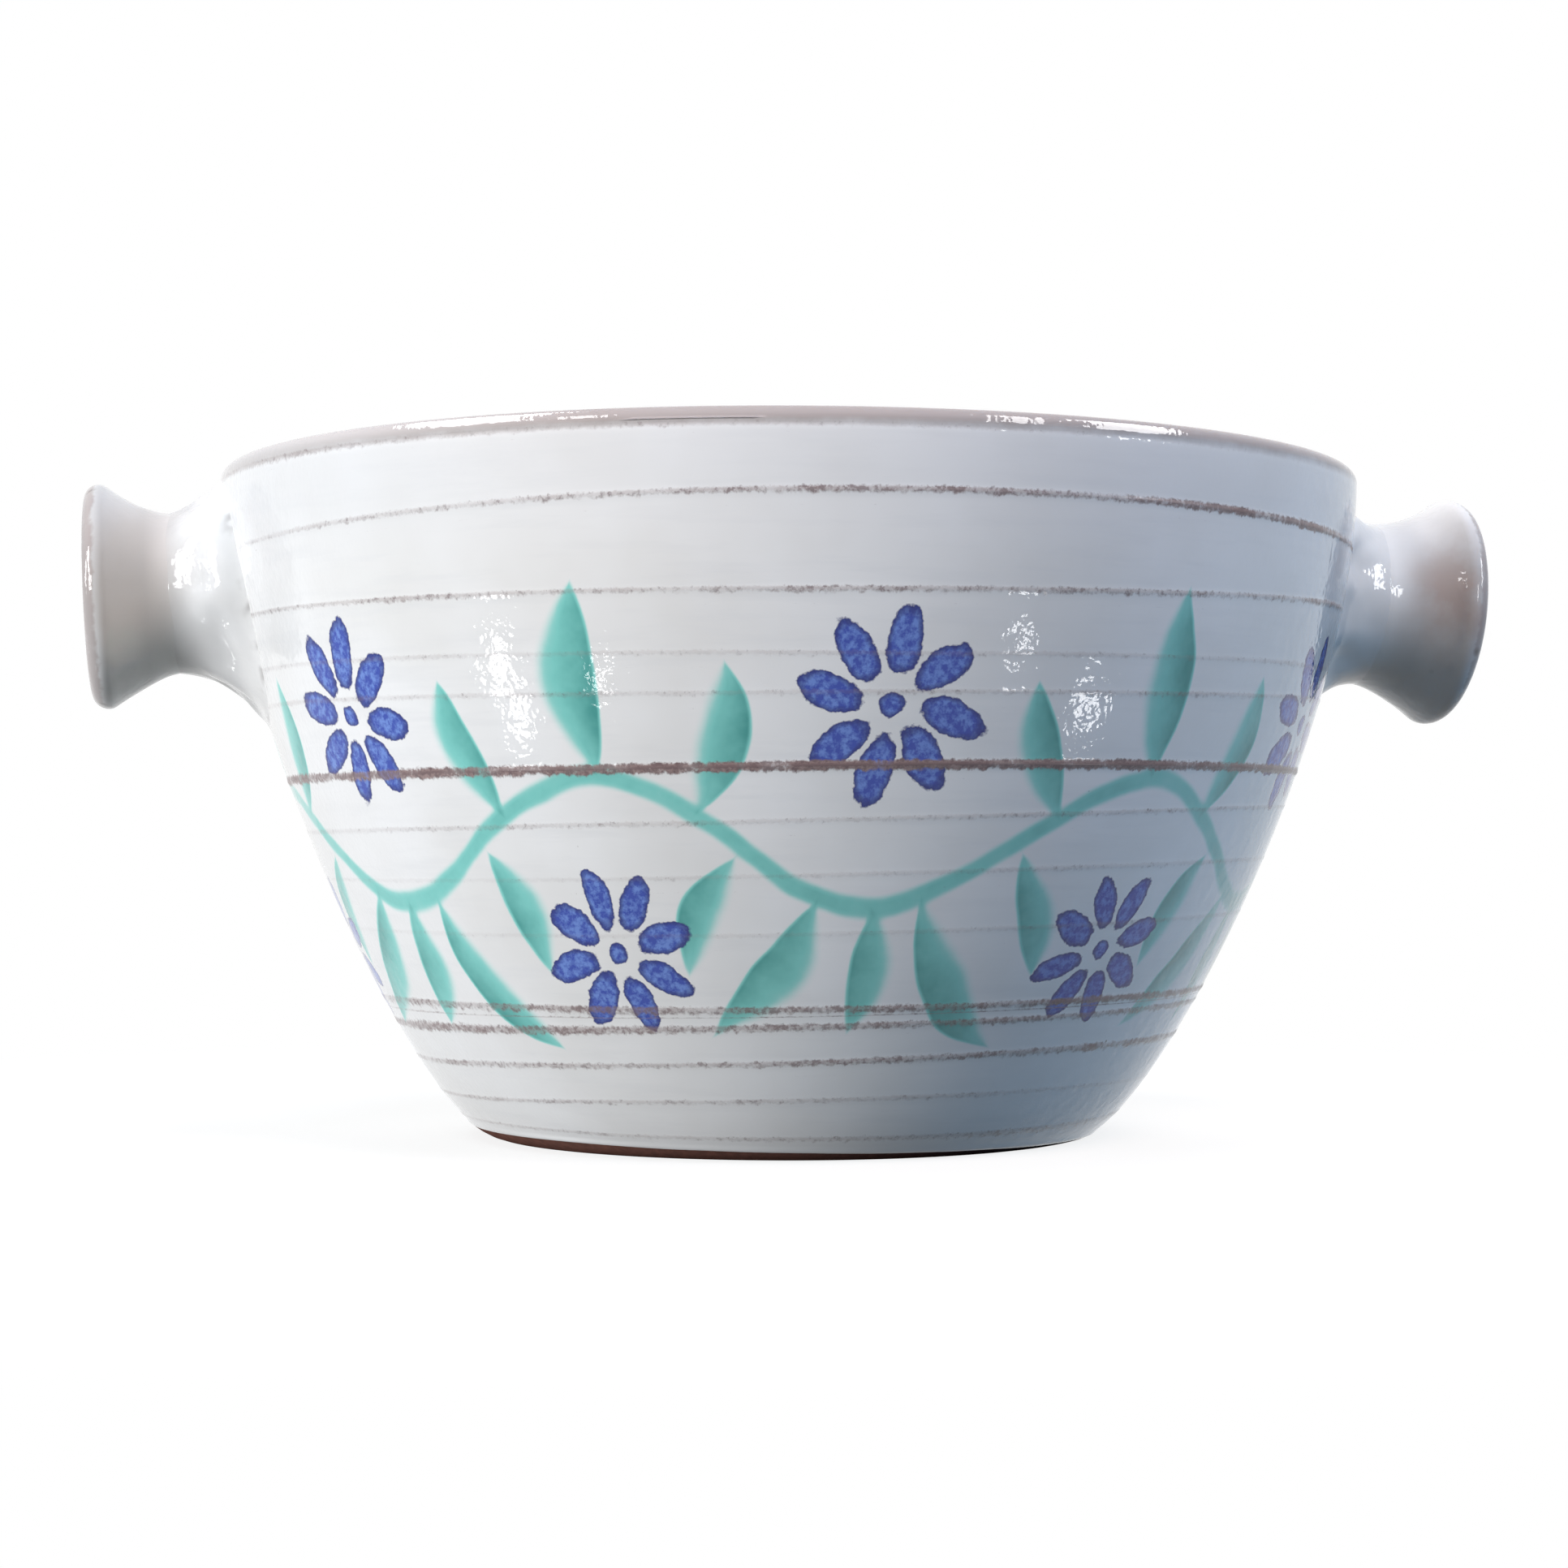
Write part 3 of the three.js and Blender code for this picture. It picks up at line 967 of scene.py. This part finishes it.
def handle_glaze_material(name):
    """White glaze that reads four point values: cream with its painted shade, thin edge, brown blush and
    seam.
    """
    material, tree, here, colour, peel = start_glaze(name)
    cream_and_shade, thin, brown_blush, seam = (point_value(tree, key) for key in ("cream_and_shade", "thin", "brown_blush", "seam"))
    # the handles' cream, partly painted shade
    colour = blend(cream_and_shade, colour, HANDLE_CREAM_AND_SHADE)
    # a brown blush on the front of the right flare, in blotches
    brown_blush = brown_blush * clouds(tree, here, BLOTCH, 4.0, 0.6).remap(0.35, 0.62, 0.1, 0.8)
    colour = blend(brown_blush, colour, HANDLE_BLUSH)
    thin = thin + clouds(tree, here, RAGGED, 3.0, 0.6).remap(0.3, 0.7, -0.35, 0.35)
    colour = blend(thin.ease(0.3, 0.9, 0.0, 0.7), colour, GLAZE_THIN)
    spots = Number(tree, add(tree, "ShaderNodeTexVoronoi", here, 1 / SPOT_SPACING).outputs["Distance"])
    colour = blend(spots.remap(0.3 * SPOT_SIZE, SPOT_SIZE, 0.55, 0.0), colour, SEAM_DARK)
    seam = seam * clouds(tree, here, PINHOLE, 2.0, 0.55).ease(0.54, 0.66, 0.0, 0.5)
    colour = blend(seam, colour, SEAM_DARK)
    finish_glaze(tree, colour, peel, GLASS_ROUGHNESS, 1.0)
    return material


handle_glaze = handle_glaze_material("cream_white_glaze")
joint_glaze = handle_glaze_material("pooled_white_glaze")
print("glazes:", [m.name for m in (bowl_glaze, handle_glaze, joint_glaze)])

# %% [markdown]
# A handle is a loop of points at each angle round its axis: out along the bore, round the mouth, and
# back to the root. It is uneven from the hand, and its belly sags.

# %% The section of a handle
NECK_RADIUS = 17.5 * MM
NECK_LENGTH = 11 * MM
MOUTH_RADIUS = 24.6 * MM
MOUTH_LIP = 5.8 * MM
MOUTH_FLARE = math.radians(40)
HANDLE_WALL = 5 * MM
SINK = 0.4 * MM
SAG = 1.1 * MM
UNEVEN = 0.35 * MM
UNEVEN_LENGTH = 14 * MM
UNEVEN_TURN = 1.4
EDGE_SOFT, EDGE_START, EDGE_RUN = 1.1 * MM, 3.2 * MM, 1.6 * MM
STUB_STEPS, FLARE_STEPS, MOUTH_STEPS = 8, 16, 13


def unevenness(seat, along, angle):
    """How far the hand-shaped neck stands out or in at a place."""
    return UNEVEN * noise.noise(Vector((
        along / UNEVEN_LENGTH, UNEVEN_TURN * math.sin(angle),
        UNEVEN_TURN * math.cos(angle) + seat.translation.x)))


def handle_section(side, angle):
    """The loop of a handle's wall at one angle, and how near each point is to the mouth's edge."""
    seat, size, reach = seats[side], HANDLES[side]["size"], HANDLES[side]["reach"]
    neck = size * NECK_RADIUS
    bore = neck - HANDLE_WALL
    lip = MOUTH_LIP / 2
    centre = np.array((reach - lip, size * MOUTH_RADIUS - lip))
    turns = MOUTH_FLARE - math.pi / 2 + np.linspace(0, math.pi, MOUTH_STEPS)
    roll = centre + lip * np.column_stack([np.cos(turns), np.sin(turns)])

    def flare(radius, mouth):
        bend = mouth[0] - (mouth[1] - radius) / math.tan(MOUTH_FLARE)
        pulls = [(NECK_LENGTH, radius), (bend, radius), mouth]
        return curve_points(np.linspace(0, 1, FLARE_STEPS), pulls)

    def stub(radius):
        root = wall_reach(seat, radius, angle) - SINK
        along = np.linspace(root, NECK_LENGTH, STUB_STEPS, endpoint=False)
        return np.column_stack([along, np.full(STUB_STEPS, radius)])

    inside, outside = flare(bore, roll[0]), flare(neck, roll[-1])
    loop = np.vstack([stub(bore), inside[:-1], roll, outside[::-1][1:], stub(neck)[::-1]])
    edge = bell(np.hypot(*(loop - centre).T), lip, EDGE_SOFT)
    edge *= ramp(loop[:, 0], reach - EDGE_START, EDGE_RUN)
    loop[:, 1] += [unevenness(seat, along, angle) for along, _ in loop]
    belly = ramp(loop[:, 0], NECK_LENGTH, reach - NECK_LENGTH)
    loop[:, 1] += SAG * max(0.0, -math.cos(angle)) * np.sin(math.pi * belly) ** 2
    return loop, edge


print("points in a handle's section:", len(handle_section("left", 0.0)[0]))

# %% [markdown]
# A sleeve function lofts a piece through its sections. The values for the glaze go by the angle at
# which a place rises from the front of the handle. The top of a flare is painted whiter, a painted
# highlight for light from above, and the low front is painted whiter as painted light from below; the
# blush is on the front between them.

# %% Make the handles
HANDLE_SIDES = 120
BROWN_BLUSH = {"left": 0.0, "right": 1.0}
# painted highlight: how much the top of each flare is painted whiter, in place of light from above
PAINTED_TOP_LIGHT = {"left": 0.2, "right": 0.9}
TOP_LIGHT_START, TOP_LIGHT_RUN = 0.3, 0.5
FLARE_START, FLARE_RUN = 0.42, 0.25  # as shares of the reach
# partly painted shade: the flare greys away from the joint, where it lies in shade
CREAM_AND_SHADE, CREAM_START, CREAM_RUN, CREAM_LEAST = 0.8, 0.34, 0.25, 0.3
BLUSH_RISE, BLUSH_SPREAD = 4, 32
# painted light: how much the low front of a flare is painted whiter, in place of light from below
PAINTED_LOW_LIGHT, LOW_LIGHT_RISE, LOW_LIGHT_SPREAD = 0.5, -37, 25

angles = np.linspace(0, 2 * math.pi, HANDLE_SIDES, endpoint=False)


def sleeve(name, seat, sections, material, values):
    """A closed sleeve lofted through its sections, each a loop of (along, out), with point values."""
    sides, count = len(sections), len(sections[0])
    points, faces = [], []
    for i, section in enumerate(sections):
        points += [seat @ sleeve_point(along, out, angles[i]) for along, out in section]
        for j in range(count):
            after, beside = (j + 1) % count, (i + 1) % sides
            faces.append((
                i * count + j, beside * count + j, beside * count + after, i * count + after))
    mesh = bpy.data.meshes.new(name)
    mesh.from_pydata(points, [], faces)
    set_values(mesh, values)
    mesh.shade_smooth()
    mesh.materials.append(material)
    return new_object(name, mesh)


def front_rise(side, angle):
    """How far, in degrees, a place round a handle rises from its front."""
    facing = np.sin(angle) if side == "left" else -np.sin(angle)
    return np.degrees(np.arctan2(np.cos(angle), facing))


def make_handle(side):
    """One trumpet handle."""
    loops, edges = zip(*(handle_section(side, angle) for angle in angles))
    along = np.array([loop[:, 0] for loop in loops]) / HANDLES[side]["reach"]
    rise = front_rise(side, angles)
    flare = ramp(along, FLARE_START, FLARE_RUN)
    # painted highlight on the top of the flare
    painted_top_light = PAINTED_TOP_LIGHT[side] * ramp(np.cos(angles), TOP_LIGHT_START, TOP_LIGHT_RUN)
    # painted light, which also whitens the low front of the flare
    painted_light = np.maximum(painted_top_light, PAINTED_LOW_LIGHT * bell(rise, LOW_LIGHT_RISE, LOW_LIGHT_SPREAD))
    # partly painted shade: grey on the flare away from the joint
    cream_and_shade = CREAM_AND_SHADE * np.maximum(CREAM_LEAST, ramp(along, CREAM_START, CREAM_RUN))
    values = {
        "cream_and_shade": cream_and_shade * (1 - painted_light[:, None] * flare), "thin": edges,
        "brown_blush": BROWN_BLUSH[side] * bell(rise, BLUSH_RISE, BLUSH_SPREAD)[:, None] * flare,
        "seam": np.zeros(along.shape),
    }
    return sleeve(side + "_trumpet", seats[side], loops, handle_glaze, values)


handles = {side: make_handle(side) for side in HANDLES}
print("handle faces:", {side: len(piece.data.polygons) for side, piece in handles.items()})

# %% [markdown]
# The coil round each joint was pressed on with a thumb and smoothed with a wet finger. It is a hollow
# fillet that runs into wall and neck, with soft thumb marks and an edge that wanders. Below the handle
# it is smeared far down the wall. Above it the two joints differ: on the left the clay was pulled up on
# to the lip in one straight slope, on the right it stops short of it.

# %% The section of a joint coil
COIL_SPREAD = 8.5 * MM
COIL_SMEAR = 5.5 * MM
COIL_END = 2.5 * MM
COIL_FULLNESS = 3.0 * MM
COIL_TOP = {"left": (24.2 * MM, 5.0 * MM), "right": (23.0 * MM, 3.0 * MM)}  # room, filling
COIL_LUMP = {"left": 3.6 * MM, "right": 1.2 * MM}  # pressed up on the front
LUMP_RISE, LUMP_SPREAD = 5, 38
# partly painted shade: grey that dims each coil towards the neck
COIL_CREAM_AND_SHADE = {"left": 0.3, "right": 0.38}
COIL_STEPS = 28
COIL_BACK = 1.5 * MM
CREASE_LIFT, WALL_LIFT = 0.3 * MM, 0.2 * MM
NECK_SINK, WALL_SINK = 0.05 * MM, 0.6 * MM
EDGE_WANDER = 1.3 * MM
WANDER_TURN = 1.6
THUMB_COUNT = 7
THUMB_MARK = 0.9 * MM
THUMB_SHIFT = Vector((5, 5, 5))
SEAM_WIDTH = 0.16


def coil_face(side, angle, ring, share):
    """The face of a coil that shows at one angle, and the loop's points behind it in the clay."""
    seat = seats[side]
    neck = HANDLES[side]["size"] * NECK_RADIUS
    room, filling = COIL_TOP[side]
    wander = EDGE_WANDER * noise.noise(ring)
    above, below = max(0.0, math.cos(angle)), max(0.0, -math.cos(angle))
    outer = neck + COIL_SPREAD + COIL_SMEAR * below**1.5 + wander
    if above > 0:
        outer = min(outer, room / above)
    crease, wall = wall_reach(seat, neck, angle), wall_reach(seat, outer, angle)
    end = NECK_LENGTH + COIL_END + 0.7 * wander
    tangent = max(outer - COIL_FULLNESS, neck + CREASE_LIFT)
    face = curve_points(share, [
        (end, neck - NECK_SINK),
        (crease + COIL_FULLNESS * (1 + 0.6 * below) + filling * above, neck + CREASE_LIFT),
        (wall_reach(seat, tangent, angle) + WALL_LIFT + 0.5 * filling * above, tangent),
        (wall - WALL_SINK, outer),
    ])
    back = [(wall - COIL_BACK, outer), (crease - COIL_BACK, neck - COIL_BACK), (end, neck - COIL_BACK)]
    return face, np.array(back)


def coil_section(side, angle):
    """The loop of a coil at one angle, with its values for seam and for cream with its painted shade."""
    seat = seats[side]
    share = np.linspace(0, 1, COIL_STEPS)
    ring = Vector((
        WANDER_TURN * math.sin(angle), WANDER_TURN * math.cos(angle), 40 * seat.translation.x))
    face, back = coil_face(side, angle, ring, share)
    thumbs = math.cos(THUMB_COUNT * angle + 2.5 * noise.noise(ring + THUMB_SHIFT))
    lumps = np.array([noise.noise(Vector((t * 4, 0, 0)) + 2.2 * ring) for t in share])
    marks = 0.6 * thumbs + 0.8 * noise.noise(ring) + 0.9 * lumps
    bulge = THUMB_MARK * marks * np.sin(math.pi * share) ** 2
    lump = COIL_LUMP[side] * bell(front_rise(side, angle), LUMP_RISE, LUMP_SPREAD)
    bulge += lump * np.sin(math.pi * share) ** 1.3
    face += 0.7 * bulge[:, None]
    face[:, 1] += [(1 - t) * unevenness(seat, along, angle) for t, (along, _) in zip(share, face)]
    inside = np.zeros(len(back))
    seam = np.append(bell(share, 1, SEAM_WIDTH), inside)
    cream_and_shade = np.append(COIL_CREAM_AND_SHADE[side] * np.clip(1.6 * (1 - share), 0, 1), inside)
    return np.vstack([face, back]), seam, cream_and_shade


print("points in a coil's section:", len(coil_section("left", 0.0)[0]))

# %% [markdown]
# The same sleeve function makes the coils.

# %% Make the joint coils


def make_coil(side):
    """One joint coil."""
    loops, seam, cream_and_shade = zip(*(coil_section(side, angle) for angle in angles))
    none = np.zeros(np.shape(seam))
    values = {"cream_and_shade": cream_and_shade, "thin": none, "brown_blush": none, "seam": seam}
    return sleeve(side + "_coil", seats[side], loops, joint_glaze, values)


coils = {side: make_coil(side) for side in HANDLES}
print("coil faces:", {side: len(piece.data.polygons) for side, piece in coils.items()})

# %% [markdown]
# Each piece now takes the place of its CAD node and rides on the one body, because nothing on the pot
# moves.

# %% Seat the pieces in the frame
PIECES = [(bowl, "bowl", "bowl_glaze")]
for side in ("left", "right"):
    PIECES.append((handles[side], side + "_handle", "handle_glaze"))
    PIECES.append((coils[side], side + "_joint_coil", "joint_glaze"))
for piece, node, slot in PIECES:
    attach(piece, "root")
    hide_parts(node)
print("pieces:", [piece.name for piece, _, _ in PIECES])

# %% [markdown]
# The pot stands on a white floor. The camera sees it as plain white, while for the light that bounces
# it is a dark grey, which keeps the undersides of the handles dark as a table would. The floor shows
# the shadow of the pot near it, and lets low light through from below.

# %% White floor
FLOOR_SIZE = 6.0
FLOOR_CORNERS = [(-0.5, -0.5), (0.5, -0.5), (0.5, 0.5), (-0.5, 0.5)]
SHADOW_RADIUS = 0.34
PAPER_SHOWN = linear("#787878")
PAPER_GLOW = 0.85
PAPER_BOUNCE = linear("#303030")

floor_mesh = bpy.data.meshes.new("floor")
floor_mesh.from_pydata([(FLOOR_SIZE * x, FLOOR_SIZE * y, 0) for x, y in FLOOR_CORNERS], [], [(0, 1, 2, 3)])
floor = new_object("floor", floor_mesh)
floor.visible_shadow = False


def seen_directly(tree):
    """One for rays that show the background: from the camera, in reflections and through glass."""
    rays = add(tree, "ShaderNodeLightPath").outputs
    seen = Number(tree, rays["Is Camera Ray"]).calc("MAXIMUM", rays["Is Glossy Ray"])
    return seen.calc("MAXIMUM", rays["Is Transmission Ray"])


floor_paper = bpy.data.materials.new("white_paper")
floor_paper.use_nodes = True
tree = floor_paper.node_tree
tree.nodes.clear()
paper = add(tree, "ShaderNodeBsdfDiffuse", PAPER_SHOWN)
glow = add(tree, "ShaderNodeEmission", WHITE, PAPER_GLOW)
near_paper = add(tree, "ShaderNodeAddShader", paper, glow)
white = add(tree, "ShaderNodeEmission", WHITE, 1.0)
x, y, _ = parts_of(tree, add(tree, "ShaderNodeTexCoord").outputs["Object"])
far = hypotenuse(x, y).ease(0.5 * SHADOW_RADIUS, SHADOW_RADIUS, 0.0, 1.0)
shown_floor = add(tree, "ShaderNodeMixShader", far, near_paper, white)
bounce_floor = add(tree, "ShaderNodeBsdfDiffuse", PAPER_BOUNCE)
floor_shader = add(tree, "ShaderNodeMixShader", seen_directly(tree), bounce_floor, shown_floor)
add(tree, "ShaderNodeOutputMaterial", floor_shader)
floor_mesh.materials.append(floor_paper)
print("nodes in the floor's paper:", len(tree.nodes))

# %% [markdown]
# The room is white too, to the camera and in mirrors. It gives only a weak light of its own.

# %% White room
AMBIENT = linear("#e8fbff")
AMBIENT_LEVEL = 0.08

world = bpy.data.worlds.new("studio")
bpy.context.scene.world = world
world.use_nodes = True
tree = world.node_tree
tree.nodes.clear()
ambient = add(tree, "ShaderNodeBackground", AMBIENT, AMBIENT_LEVEL)
backdrop = add(tree, "ShaderNodeBackground", WHITE, 1.0)
room = add(tree, "ShaderNodeMixShader", seen_directly(tree), ambient, backdrop)
add(tree, "ShaderNodeOutputWorld", room)
print("floor and room are white")

# %% [markdown]
# The light is a soft key from the front left, a weak high window and blue sky light from the right, a
# ceiling that brightens the tops of the handles, and a lamp at the back that shows the far side.
# Levels say how bright a white card facing the lamp would be, so a colour renders about as it is
# written.

# %% Lamps
CAMERA_TURN = math.radians(-9.85)
LAMP_DISTANCE = 1.5
LAMPS = [  # name, turn from the camera's side and rise in degrees, size in metres, level, colour
    ("key", -58, 4, 0.6, 1.15, "#f9fbff"),
    ("window", 35, 50, 0.6, 0.60, "#ffe4d4"),
    ("sky", 62, 18, 0.6, 0.38, "#78c4ff"),
    ("ceiling", -10, 80, 0.6, 0.60, "#dceaff"),
    ("back", 180, 32, 0.9, 0.65, "#ffffff"),
]


def lamp(name, place, aim, width, height, radiance, hex_colour):
    """A soft lamp at a place, with the brightness of its surface given. Not seen directly."""
    data = bpy.data.lights.new(name, "AREA")
    data.shape = "RECTANGLE"
    data.size = width
    data.size_y = height
    data.energy = radiance * math.pi * width * height
    data.color = linear(hex_colour)[:3]
    made = new_object(name, data)
    made.location = place
    made.rotation_euler = (place - aim).to_track_quat("Z", "Y").to_euler()
    made.visible_camera = False
    return made


lamp_aim = Vector((0, 0, BOWL_HEIGHT / 2))
for name, turn, rise, size, level, hex_colour in LAMPS:
    turn, rise = CAMERA_TURN + math.radians(turn), math.radians(rise)
    away = Vector((math.sin(turn) * math.cos(rise), -math.cos(turn) * math.cos(rise), math.sin(rise)))
    radiance = level * math.pi * LAMP_DISTANCE**2 / size**2
    soft = lamp(name, lamp_aim + away * LAMP_DISTANCE, lamp_aim, size, size, radiance, hex_colour)
    soft.visible_glossy = False

# %% [markdown]
# The camera stands where the photograph was taken, a little under the middle of the bowl and turned
# slightly to its left.

# %% Camera
CAMERA_DISTANCE = 0.689
CAMERA_HEIGHT = 61.6 * MM
AIM_HEIGHT = 76.0 * MM
AIM_SIDE = -0.94 * MM
FOCAL_PIXELS = 3883
IMAGE_PIXELS = 1932
SENSOR = 36.0
CLIP_START = 0.01

camera_data = bpy.data.cameras.new("camera")
camera_data.sensor_fit = "HORIZONTAL"
camera_data.sensor_width = SENSOR
camera_data.lens = SENSOR * FOCAL_PIXELS / IMAGE_PIXELS
camera_data.clip_start = CLIP_START
camera = new_object("camera", camera_data)
toward = Vector((math.sin(CAMERA_TURN), -math.cos(CAMERA_TURN), 0))
sideways = Vector((math.cos(CAMERA_TURN), math.sin(CAMERA_TURN), 0))
camera.location = toward * CAMERA_DISTANCE + Vector((0, 0, CAMERA_HEIGHT))
aim = sideways * AIM_SIDE + Vector((0, 0, AIM_HEIGHT))
camera.rotation_euler = (aim - camera.location).to_track_quat("-Z", "Y").to_euler()
bpy.context.scene.camera = camera
bpy.context.scene.view_settings.view_transform = "Standard"
print("lens in mm:", round(camera_data.lens, 1))

# %% [markdown]
# Windows in the room leave small, hard glints on the glaze. A glint lies where the line of sight is
# mirrored into a bright thing, so each one is made backwards: a line of sight is sent to the place in
# the picture and mirrored on the surface that it meets.

# %% Lines of sight, mirrored


def mirrored(pieces, pixel_x, pixel_y):
    """Where the line of sight to a place in the picture first meets some pieces, and its mirrored way."""
    across = (pixel_x - IMAGE_PIXELS / 2) / FOCAL_PIXELS
    up = (IMAGE_PIXELS / 2 - pixel_y) / FOCAL_PIXELS
    sight = (camera.rotation_euler.to_matrix() @ Vector((across, up, -1))).normalized()
    casts = [piece.ray_cast(camera.location, sight) for piece in pieces]
    hits = [(point, normal) for found, point, normal, _ in casts if found]
    point, normal = min(hits, key=lambda hit: (hit[0] - camera.location).length)
    return point, sight.reflect(normal)


# %% [markdown]
# A small bright panel is set on each mirrored line, upright as the mirror shows it. Light linking
# keeps it to the part that it is meant for.

# %% Glints on the glaze
# for each part: place in the picture, then distance, width and height of the panel in mm
GLINTS = {
    "bowl": [
        (606, 808, 150, 15, 24),
        (642, 868, 150, 14, 20),
        (742, 812, 150, 8, 10),
        (1258, 792, 150, 11, 12),
        (1345, 872, 150, 15, 16),
        (566, 521, 300, 130, 350),
        (716, 513, 300, 45, 110),
        (1262, 518, 300, 44, 300),
        (1399, 528, 300, 105, 300),
    ],
    "left": [
        (238, 673, 150, 20, 36),
        (253, 697, 150, 22, 40),
        (266, 716, 150, 16, 36),
        (227, 703, 150, 12, 20),
        (255, 761, 150, 14, 14),
        (109, 695, 150, 30, 90),
    ],
    "right": [
        (1698, 709, 150, 18, 70),
        (1716, 729, 150, 16, 40),
        (1812, 720, 150, 12, 40),
    ],
}
GLINT_RADIANCE = 14.0
GLINT_STEP = 3  # pixels up and down, to find which way is upright in the mirror

bpy.context.view_layer.update()
parts = {"bowl": [bowl]} | {side: [handles[side], coils[side]] for side in HANDLES}
for part, places in GLINTS.items():
    lit = bpy.data.collections.new(f"{part}_with_glints")
    for piece in parts[part]:
        lit.objects.link(piece)
    for number, (pixel_x, pixel_y, distance, width, height) in enumerate(places, 1):
        point, away = mirrored(parts[part], pixel_x, pixel_y)
        _, higher = mirrored(parts[part], pixel_x, pixel_y - GLINT_STEP)
        _, lower = mirrored(parts[part], pixel_x, pixel_y + GLINT_STEP)
        side = (higher - lower).cross(away).normalized()
        place = point + away * distance * MM
        panel = lamp(
            f"{part}_glint_{number}", place, point, width * MM, height * MM, GLINT_RADIANCE, "#ffffff")
        panel.rotation_euler = Matrix((side, away.cross(side), away)).transposed().to_euler()
        panel.visible_diffuse = False
        panel.light_linking.receiver_collection = lit
        print(panel.name, [round(v / MM) for v in panel.location])
